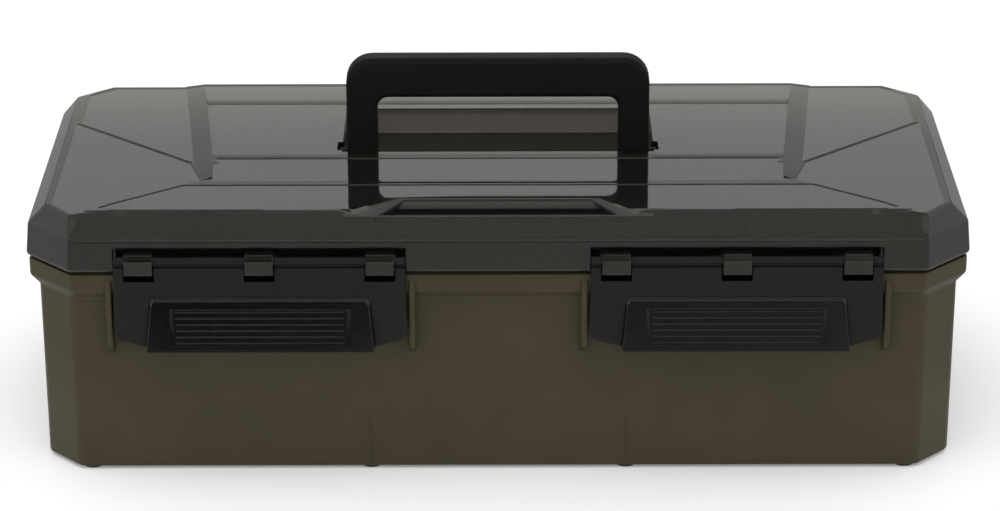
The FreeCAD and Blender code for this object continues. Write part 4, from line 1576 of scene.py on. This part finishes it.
    def lowered(self) -> list[Shell]:
        """Find what is cut off the crown: in front of the diagonals, under the middle, along the sides.

        Returns:
            The cutters.
        """
        far, high = self.half_x + self.cutter_reach, self.rim_z + self.cutter_rise
        result = []
        for outer, inner, rise, end in (
                (self.side_line, self.side_line_inner, self.side_rise, far),
                (self.corner_line, self.strip_front, self.front_rise, self.front_end)):
            slope = (outer[1] - inner[1]) / (outer[0] - inner[0])
            plan = both_ways([(end, -far), (end, outer[1] + slope * (end - outer[0])), inner])
            result.append(Shell.upright(plan, self.rim_z + rise, high))
        low = self.rim_z + self.front_rise - self.middle_sink
        result.append(Shell.upright(both_ways(self.middle_cut), low, high))
        (low_x, low_rise), (high_x, high_rise) = self.strip_edge
        tilt, (out, back) = (high_rise - low_rise) / (low_x - high_x), self.strip_reach
        wedge = [(low_x, low_rise), (low_x + out, low_rise - out * tilt), (low_x + out, self.cutter_rise),
                 (high_x - back, self.cutter_rise), (high_x - back, high_rise + back * tilt)]
        strip = Shell.loft([[(x, y, self.rim_z + rise) for x, rise in wedge] for y in self.strip_y])
        return [*result, strip, strip.mirrored()]

    def ridge(self) -> Shell:
        """Make the ridge along the top of the sloped front face.

        Returns:
            The solid ridge.
        """
        crest, rim = self.ridge_end - self.ridge_slant, self.rim_z
        front = -self.half_y + self.rim_draft + self.front_shoulder_in
        top = -self.half_y + self.rim_draft + self.front_crown_in
        low = rim + self.crown_rise / 2
        profile = [(front, low), (front, rim + self.shoulder_rise), (top, rim + self.ridge_rise),
                   (top + self.ridge_flat, rim + self.ridge_rise),
                   (top + self.ridge_foot, rim + self.front_rise), (top + self.ridge_foot, low)]
        return Shell.along_x(profile, -crest, crest).softened(self.ridge_soft, 2)

    @staticmethod
    def step(y: float, run: float, high: float, low: float) -> list[Plan]:
        """Draw a rounded step that falls off ever more steeply towards the front.

        Args:
            y: Where it ends.
            run: Its length along Y.
            high: Height behind it.
            low: Height in front of it.

        Returns:
            Its points in Y and Z, from behind.
        """
        drop = high - low
        middle = [(y + run * back, high - drop * down) for back, down in STEP_SHARES]
        return [(y + run, high), *middle, (y, low)]

    def fields(self) -> list[Shell]:
        """Make the crown's raised middle field in four levels, with a ramp down on each side.

        Returns:
            The field and the two ramps.
        """
        low = self.rim_z + self.crown_rise / 2
        rim, overlap = self.rim_z, self.groove_width * self.foot_share
        steps = [(self.plateau_back[0][0], low), *((y, rim + rise) for y, rise in self.plateau_back)]
        for line, high, foot in ((self.back_line, self.back_rise, self.middle_rise),
                                 (self.strip_back, self.middle_rise, self.strip_rise),
                                 (self.strip_front, self.strip_rise, self.front_rise)):
            steps += self.step(line[1] + overlap, self.step_run, rim + high, rim + foot)
        steps.append((self.strip_front[1] + overlap, low))
        plateau = Shell.along_x(steps, -self.half_x, self.half_x)
        limit = Shell.upright(both_ways(self.plateau_side), low - OVER, rim + self.cutter_rise)
        ramp = Shell.loft([[(outer_x, outer_y, low), (outer_x, outer_y, rim + outer_rise),
                            (inner_x, inner_y, rim + inner_rise), (inner_x, inner_y, low)]
                           for outer_x, outer_y, outer_rise, inner_x, inner_y, inner_rise in self.ramp])
        return [plateau.combined(Join.KEEP, [limit]), ramp, ramp.mirrored()]

    def groove(self, start: Plan, end: Plan, rise: float) -> Shell:
        """Make the cutter of a narrow V groove, a little longer than its line.

        Args:
            start: One end in X and Y.
            end: The other end.
            rise: Height of the surface that it is cut into, over the rim.

        Returns:
            The cutter.
        """
        along = (Vector(end) - Vector(start)).normalized()
        half = self.groove_width / 2 * (1 + self.groove_over / self.groove_depth)
        across = Vector((-along.y, along.x)) * half
        top, low = self.rim_z + rise + self.groove_over, self.rim_z + rise - self.groove_depth
        ends = (Vector(start) - along * self.groove_reach, Vector(end) + along * self.groove_reach)
        return Shell.loft([[(*(place + across), top), (*(place - across), top), (*place, low)]
                           for place in ends])

    def grooves(self) -> list[Shell]:
        """Find the dark lines at the foot of every step and diagonal.

        Returns:
            The cutters.
        """
        result = [self.groove((-x, y), (x, y), rise) for (x, y), rise in (
            (self.back_line, self.middle_rise), (self.strip_back, self.strip_rise),
            (self.strip_front, self.front_rise))]
        crest = -self.half_y + self.rim_draft + self.front_crown_in + self.ridge_groove_in
        near, far = self.ridge_groove_x
        for side in SIGNS:
            for outer, inner, rise in (
                    ((near, crest), (far, crest), self.ridge_rise - self.ridge_groove_sink),
                    (self.side_line, self.side_line_inner, self.side_rise),
                    (self.corner_line, self.strip_front, self.front_rise)):
                result.append(self.groove((side * outer[0], outer[1]), (side * inner[0], inner[1]), rise))
        return result

    def notch(self) -> list[Shell]:
        """Find the shallow notch across the ridge, its slanted cheeks, and the finger slot in it.

        Returns:
            The cutters.
        """
        front_y = -self.half_y - self.finger_front
        shallow = Shell.loft([at_level(tapered((half, front_y), back), self.rim_z + rise)
                              for (half, back), rise in zip((self.finger_low, self.finger_high),
                                                            self.finger_rise)])
        back_x, back_y = self.finger_low[1]
        slope = Shell.loft([[(side * (back_x + (back_y - y) * self.cheek_slope), y, z) for y, z in self.facet]
                            for side in SIGNS])
        slot = Shell.loft([at_level(tapered(*self.slot), z) for z in self.slot_z])
        return [shallow, slope, slot]

    def recess(self) -> list[Shell]:
        """Find the well for the folded handle under a small lip, and a side notch for each disc.

        Returns:
            The cutters.
        """
        front_y, half, (lip_y, lip_z) = self.recess_y[0], self.recess_half, self.recess_lip
        well = Shell.box((-half, half), self.recess_y, (self.recess_z, lip_z))
        well.softened(self.well_soft, 3, lambda a, b: (max(a.z, b.z) < self.recess_z + self.well_foot
                                                       or abs(a.z - b.z) > self.wall))
        mouth = Shell.box((-half, half), (front_y, lip_y), (self.recess_z + self.mouth_foot, self.recess_top))
        level = self.rim_z + self.middle_rise
        low, high = level - self.recess_chamfer, level + self.recess_over
        edge = Shell.loft([[(-half - wide, front_y - wide, z), (half + wide, front_y - wide, z),
                            (half + wide, lip_y, z), (-half - wide, lip_y, z)]
                           for wide, z in ((0.0, low), (high - low, high))])
        sides = Shell.box((-self.notch_half, self.notch_half), (-self.notch_half_y, self.notch_half_y),
                          (self.recess_z, self.recess_top))
        return [well, mouth, edge, sides]

    def inner_blocks(self) -> list[Shell]:
        """Find the material that stays inside the lid round the well, the notch and the latch pockets.

        Returns:
            One shell for each place.
        """
        high, wall = self.rim_z + self.crown_rise, self.wall
        half = self.notch_half + wall
        well = Shell.box((-half, half), (self.recess_y[0] - wall, self.recess_y[1] + wall),
                         (self.recess_z - wall, high))
        reach = half + self.boss
        boss = Shell.rod(self.boss_radius, (-reach, reach), (0.0, self.axis_z), self.boss_chamfer)
        notch = Shell.box(*self.finger_block, (self.finger_block_z, high))
        half = self.pocket_half + wall
        pocket = Shell.box((self.latch_x - half, self.latch_x + half),
                           (-self.half_y + self.rim_draft, self.pocket_y + wall),
                           (self.base_z - OVER, self.pocket_block_z))
        return [well, boss, notch, pocket, pocket.mirrored()]

    def cavity(self) -> Shell:
        """Make the hollow of the lid, round the land that meets the seal.

        Returns:
            The cutter.
        """
        draft, wall, base = self.rim_draft, self.wall, self.base_z
        crest = self.ridge_end - self.ridge_slant
        hollow = Shell.loft([
            at_level(self.outline(wall, wall, self.ridge_end), base - OVER),
            at_level(self.outline(draft + wall, draft + wall, self.ridge_end), self.rim_z),
            at_level(self.outline(draft + self.roof_side_in, draft + self.roof_front_in, crest),
                     self.rim_z + self.roof_rise)])
        outer, inner = (cut_rectangle(self.half_x - inset, self.half_y - inset,
                                      inset_cut(self.corner_cut, inset))
                        for inset in (self.land_in, wall + self.land_reach))
        land = Shell.upright(outer, base - 2 * OVER, base + wall)
        land = land.combined(Join.CUT, [Shell.upright(inner, base - 3 * OVER, base + wall + OVER)])
        return hollow.combined(Join.CUT, [land, *self.inner_blocks()])

    def pocket(self) -> Shell:
        """Make the pocket over the right latch's bar, with a round upper edge.

        Returns:
            The cutter.
        """
        top, bend = self.pocket_top_z, self.pocket_round
        middle_y, middle_z = -self.half_y + self.pocket_lip + bend, top + bend
        turns = [math.pi / (2 * self.arc_steps) * step for step in range(self.arc_steps + 1)]
        arc = [(middle_y - bend * math.cos(turn), middle_z - bend * math.sin(turn)) for turn in turns]
        front, low = -self.half_y - self.pocket_reach, self.base_z - OVER
        profile = [(front, low), (front, middle_z), *arc, (self.pocket_y, top), (self.pocket_y, low)]
        return Shell.along_x(profile, self.latch_x - self.pocket_half, self.latch_x + self.pocket_half)

    def hook(self) -> Shell:
        """Make one hook over a latch bar, about its own middle along X.

        Returns:
            The hook.
        """
        bar_y, bar_z, half = self.bar_y, self.bar_z, self.hook_half
        root, low = self.pocket_y + self.hook_root, bar_z - self.hook_drop
        front, top = bar_y - self.hook_outer, bar_z + self.hook_outer
        solid = Shell.along_x([(root, bar_z), (root, top), (front + self.hook_top_in, top),
                               (front + self.hook_bend[0], bar_z + self.hook_bend[1]),
                               (front - self.hook_lip, bar_z), (front - self.hook_lip, low), (bar_y, low),
                               (bar_y, bar_z)], -half, half)
        over = (-half - OVER, half + OVER)
        bore = Shell.rod(self.hook_inner, over, (bar_y, bar_z), 0.0, self.hook_sides)
        below = Shell.box(over, (bar_y - self.hook_inner, root + OVER), (low - OVER, bar_z))
        behind = Shell.box(over, (bar_y, root + OVER), (bar_z - OVER, bar_z + self.hook_inner))
        hook = solid.combined(Join.CUT, [bore, below, behind])
        return hook.softened(FINE_ROUND, 2, lambda a, b: (a.y + b.y) / 2 < bar_y + self.hook_soft)

    def knuckle(self) -> Shell:
        """Make the middle knuckle of a rear hinge, about its own middle along X.

        Returns:
            The knuckle.
        """
        wide = (-self.knuckle_half, self.knuckle_half)
        barrel = Shell.rod(self.barrel_radius, wide, (self.hinge_y, self.hinge_z), FINE_ROUND)
        return barrel.combined(Join.ADD, [Shell.along_x(self.web, *wide)])

    def build(self, finish: bpy.types.Material) -> None:
        """Make the lid and hang it on its body.

        Args:
            finish: Material of the lid.
        """
        block = self.outer().combined(Join.ADD, [self.ridge(), *self.fields()])
        pocket = self.pocket()
        bore = Shell.rod(self.pin_radius, (-self.pin_x, self.pin_x), (0.0, self.axis_z))
        lid = block.combined(Join.CUT, [self.cavity(), pocket, pocket.mirrored(), bore, *self.notch(),
                                        *self.recess(), *self.grooves()])
        hooks = repeated(self.hook(), [(side * self.latch_x + step * self.hook_step, 0, 0)
                                       for side in SIGNS for step in THIRDS], finish)
        hinges = [side * self.hinge_x for side in SIGNS]
        knuckles = repeated(self.knuckle(), [(x, 0, 0) for x in hinges], finish)
        reach = 2 * self.knuckle_half
        bores = [Shell.rod(self.hinge_bore, (x - reach, x + reach), (self.hinge_y, self.hinge_z))
                 for x in hinges]
        lid = lid.combined(Join.ADD, [hooks, knuckles]).combined(Join.CUT, bores)
        made = lid.finished("lid_moulding", finish, self.smooth_degrees, self.facet_degrees)
        settle(made, "lid", ["lid_shell"])


@dataclass
class Latch:
    """Latch on one side: round bar, windowed plate with its lip, and the ribbed grip pad."""

    side: Side
    centre_x: float = 100.2
    half: float = 61.2
    bar_y: float = -87.2
    bar_z: float = 99.9
    bar_radius: float = 1.65
    plate_back_y: float = -86.4
    plate_front_y: float = -89.0
    plate_top_z: float = 97.3
    side_z: float = 66.4
    tail_z: float = 60.6
    tail_half: float = 47.0
    corner: Plan = (2.5, 2.4)
    window_half: float = 6.5
    window_z: float = 91.0
    web: tuple[Plan, ...] = ((-88.3, 91.02), (-87.5, 93.2))
    window_step: float = 50.6
    neck_half: float = 0.65
    neck_root: float = 0.6
    plate_soft: float = 0.45
    bar_chamfer: float = 0.35
    pad_soft: float = 0.5
    rib_chamfer: float = 0.5
    lip_half: float = 24.0
    lip_z: Plan = (74.7, 76.9)
    lip_y: float = -84.2
    lip_root: float = 0.5
    flare: float = 0.7
    pad_top: tuple[float, float, float] = (46.5, -89.0, 84.1)
    pad_low: tuple[float, float, float] = (48.5, -89.0, 62.1)
    pad_front_top: tuple[float, float, float] = (45.7, -90.3, 82.7)
    pad_front_low: tuple[float, float, float] = (47.9, -95.0, 61.1)
    pad_corner: float = 2.6
    panel_half: float = 38.2
    panel_reach: Plan = (3.4, 19.4)
    panel_depth: float = 0.7
    rib_count: int = 6
    rib_radius: float = 0.55
    rib_in: float = 2.2
    rib_sink: float = 0.05
    rib_sides: int = 20

    def window_spans(self) -> list[Plan]:
        """Limits along X of the three windows."""
        return [(step * self.window_step - self.window_half, step * self.window_step + self.window_half)
                for step in THIRDS]

    def plate(self) -> Shell:
        """Make the windowed plate with its neck, bar and lip.

        Returns:
            The lever about its own middle along X.
        """
        half, back_y, front_y = self.half, self.plate_back_y, self.plate_front_y
        low_half = half + self.flare
        plan = both_ways([(half, self.plate_top_z), (low_half, self.side_z),
                          (low_half - self.corner[0], self.side_z - self.corner[1]),
                          (self.tail_half, self.tail_z)])
        plate = Shell.loft([[(x, y, z) for x, z in plan] for y in (front_y, back_y)])
        neck = Shell.box((-half, half), (self.bar_y - self.neck_half, self.bar_y + self.neck_half),
                         (self.plate_top_z - self.neck_root, self.bar_z))
        windows = [Shell.box(span, (front_y - OVER, back_y + OVER), (self.window_z, self.bar_z + OVER))
                   for span in self.window_spans()]
        bar = Shell.rod(self.bar_radius, (-half, half), (self.bar_y, self.bar_z), self.bar_chamfer)
        lip = Shell.box((-self.lip_half, self.lip_half), (back_y - self.lip_root, self.lip_y), self.lip_z)
        solid = plate.softened(self.plate_soft, 2).combined(Join.ADD, [neck]).combined(Join.CUT, windows)
        return solid.combined(Join.ADD, [bar, lip.softened(FINE_ROUND, 2)])

    def webs(self) -> Shell:
        """Make the slanted webs that close the foot of the three windows; their near-black finish is painted
        shade for the deep shadow there.

        Returns:
            The webs about the latch's middle along X.
        """
        section = [(self.plate_back_y, self.web[0][1]), *self.web, (self.plate_back_y, self.web[-1][1])]
        first, *others = [Shell.along_x(section, *span) for span in self.window_spans()]
        return first.gathered(others)

    def pad_ring(self, top: Point, low: Point) -> list[Point]:
        """Draw the pad's six-sided outline in front or behind.

        Args:
            top: Right end of its top edge.
            low: Right end of its bottom edge.

        Returns:
            The six points.
        """
        lean = self.pad_corner / (top[2] - low[2])
        side_half = top[0] + (low[0] - top[0]) * lean
        side_y = top[1] + (low[1] - top[1]) * lean
        right = [(top[0] - self.pad_corner / 2, top[1], top[2]),
                 (side_half, side_y, top[2] - self.pad_corner), low]
        return right + [(-x, y, z) for x, y, z in reversed(right)]

    def pad(self, finish: bpy.types.Material) -> Shell:
        """Make the wedge with a sunk panel and straight grip ribs in it.

        Args:
            finish: Material of the pad.

        Returns:
            The pad about its own middle along X.
        """
        wedge = Shell.loft([self.pad_ring(self.pad_top, self.pad_low),
                            self.pad_ring(self.pad_front_top, self.pad_front_low)]).softened(self.pad_soft, 3)
        top, low = Vector(self.pad_front_top[1:]), Vector(self.pad_front_low[1:])
        down = (low - top).normalized()
        out = Vector((down.y, -down.x))
        near, far = (top + down * reach for reach in self.panel_reach)
        sunk = out * self.panel_depth
        profile = [near + out * OVER, far + out * OVER, far - sunk, near - sunk]
        panel = Shell.along_x([tuple(point) for point in profile], -self.panel_half, self.panel_half)
        pad = wedge.combined(Join.CUT, [panel.softened(FINE_ROUND, 2)])
        half = self.panel_half - self.rib_in
        rib = Shell.rod(self.rib_radius, (-half, half), (0.0, 0.0), self.rib_chamfer, self.rib_sides)
        room = (self.panel_reach[1] - self.panel_reach[0]) / self.rib_count
        floor = [near + down * (room * (step + 0.5)) - out * (self.panel_depth + self.rib_sink)
                 for step in range(self.rib_count)]
        ribs = repeated(rib, [(0.0, point.x, point.y) for point in floor], finish)
        return pad.combined(Join.ADD, [ribs])

    def build(self, plate_finish: bpy.types.Material, pad_finish: bpy.types.Material,
              window_shade_finish: bpy.types.Material) -> None:
        """Make the latch's pieces and hang them on its body.

        Args:
            plate_finish: Material of the lever.
            pad_finish: Material of the grip pad.
            window_shade_finish: Material of the webs in the windows.
        """
        step = (self.side.value * self.centre_x, 0.0, 0.0)
        label = self.side.label
        for name, shell, finish, slot, nodes in (
                ("latch_lever", self.plate(), plate_finish, "latch_plastic", [f"latch_plate_{label}"]),
                ("latch_webs", self.webs(), window_shade_finish, "latch_plastic", []),
                ("grip_pad", self.pad(pad_finish), pad_finish, "pad_plastic", [f"latch_pad_{label}"])):
            made = shell.moved(step).finished(f"{name}_{label}", finish)
            settle(made, f"latch_{label}", nodes)


def dress_nodes(finishes: Mapping[str, Any]) -> None:
    """Give every node of the frame its own finish.

    Args:
        finishes: Material for each slot of the record.
    """
    slots = {part["node"]: part["material_slot"] for part in frame["record"]["subparts"]}
    for name, node in frame["nodes"].items():
        node.data.materials.clear()
        node.data.materials.append(finishes[slots[name]])
        log.info("%s dressed as %s", name, slots[name])


def main() -> None:
    """Build the studio and every piece of the box, in order."""
    logging.basicConfig(level=logging.INFO, format="%(name)s: %(message)s")
    Studio().build()
    lid, black = Lid(), (0.0085, 0.0088, 0.0075)
    finishes = {
        "tub_plastic": MouldedPlastic("tub_plastic", (0.046, 0.0365, 0.0165), 0.45).material(),
        "smoked_lid": SmokedPlastic("smoked_lid", (0.045, 0.043, 0.037), 0.035, 1.0,
                                    parts=lid.matt_and_painted_light_parts).material(),
        "seal_rubber": Rubber("seal_rubber", (0.012, 0.012, 0.012)).material(),
        "handle_plastic": MouldedPlastic("handle_plastic", black, 0.42, gloss=0.045).material(),
        "pin_plastic": MouldedPlastic("pin_plastic", (0.01, 0.01, 0.01), 0.4).material(),
        "latch_plastic": MouldedPlastic("latch_plastic", black, 0.42, gloss=0.2).material(),
        "pad_plastic": MouldedPlastic("pad_plastic", (0.003, 0.003, 0.0028), 0.14, 0.55, 0.005,
                                      gloss=0.4).material(),
        "pin_steel": DrawnSteel("pin_steel").material(),
        "foot_rubber": Rubber("foot_rubber", (0.015, 0.015, 0.015)).material(),
        "divider_plastic": MouldedPlastic("divider_plastic", (0.05, 0.045, 0.035), 0.42).material(),
    }
    # Near-black, glossless finish of the window webs: painted shade for the deep shadow under the hooks.
    window_shade_finish = MouldedPlastic("web_plastic", (0.0012, 0.0012, 0.0012), 0.6, gloss=0.0).material()
    dress_nodes(finishes)
    Tub().build(finishes["tub_plastic"])
    Feet().build(finishes["foot_rubber"])
    lid.build(finishes["smoked_lid"])
    Handle().build(finishes["handle_plastic"])
    for side in Side:
        Latch(side).build(finishes["latch_plastic"], finishes["pad_plastic"], window_shade_finish)


if __name__ == "__main__":
    main()
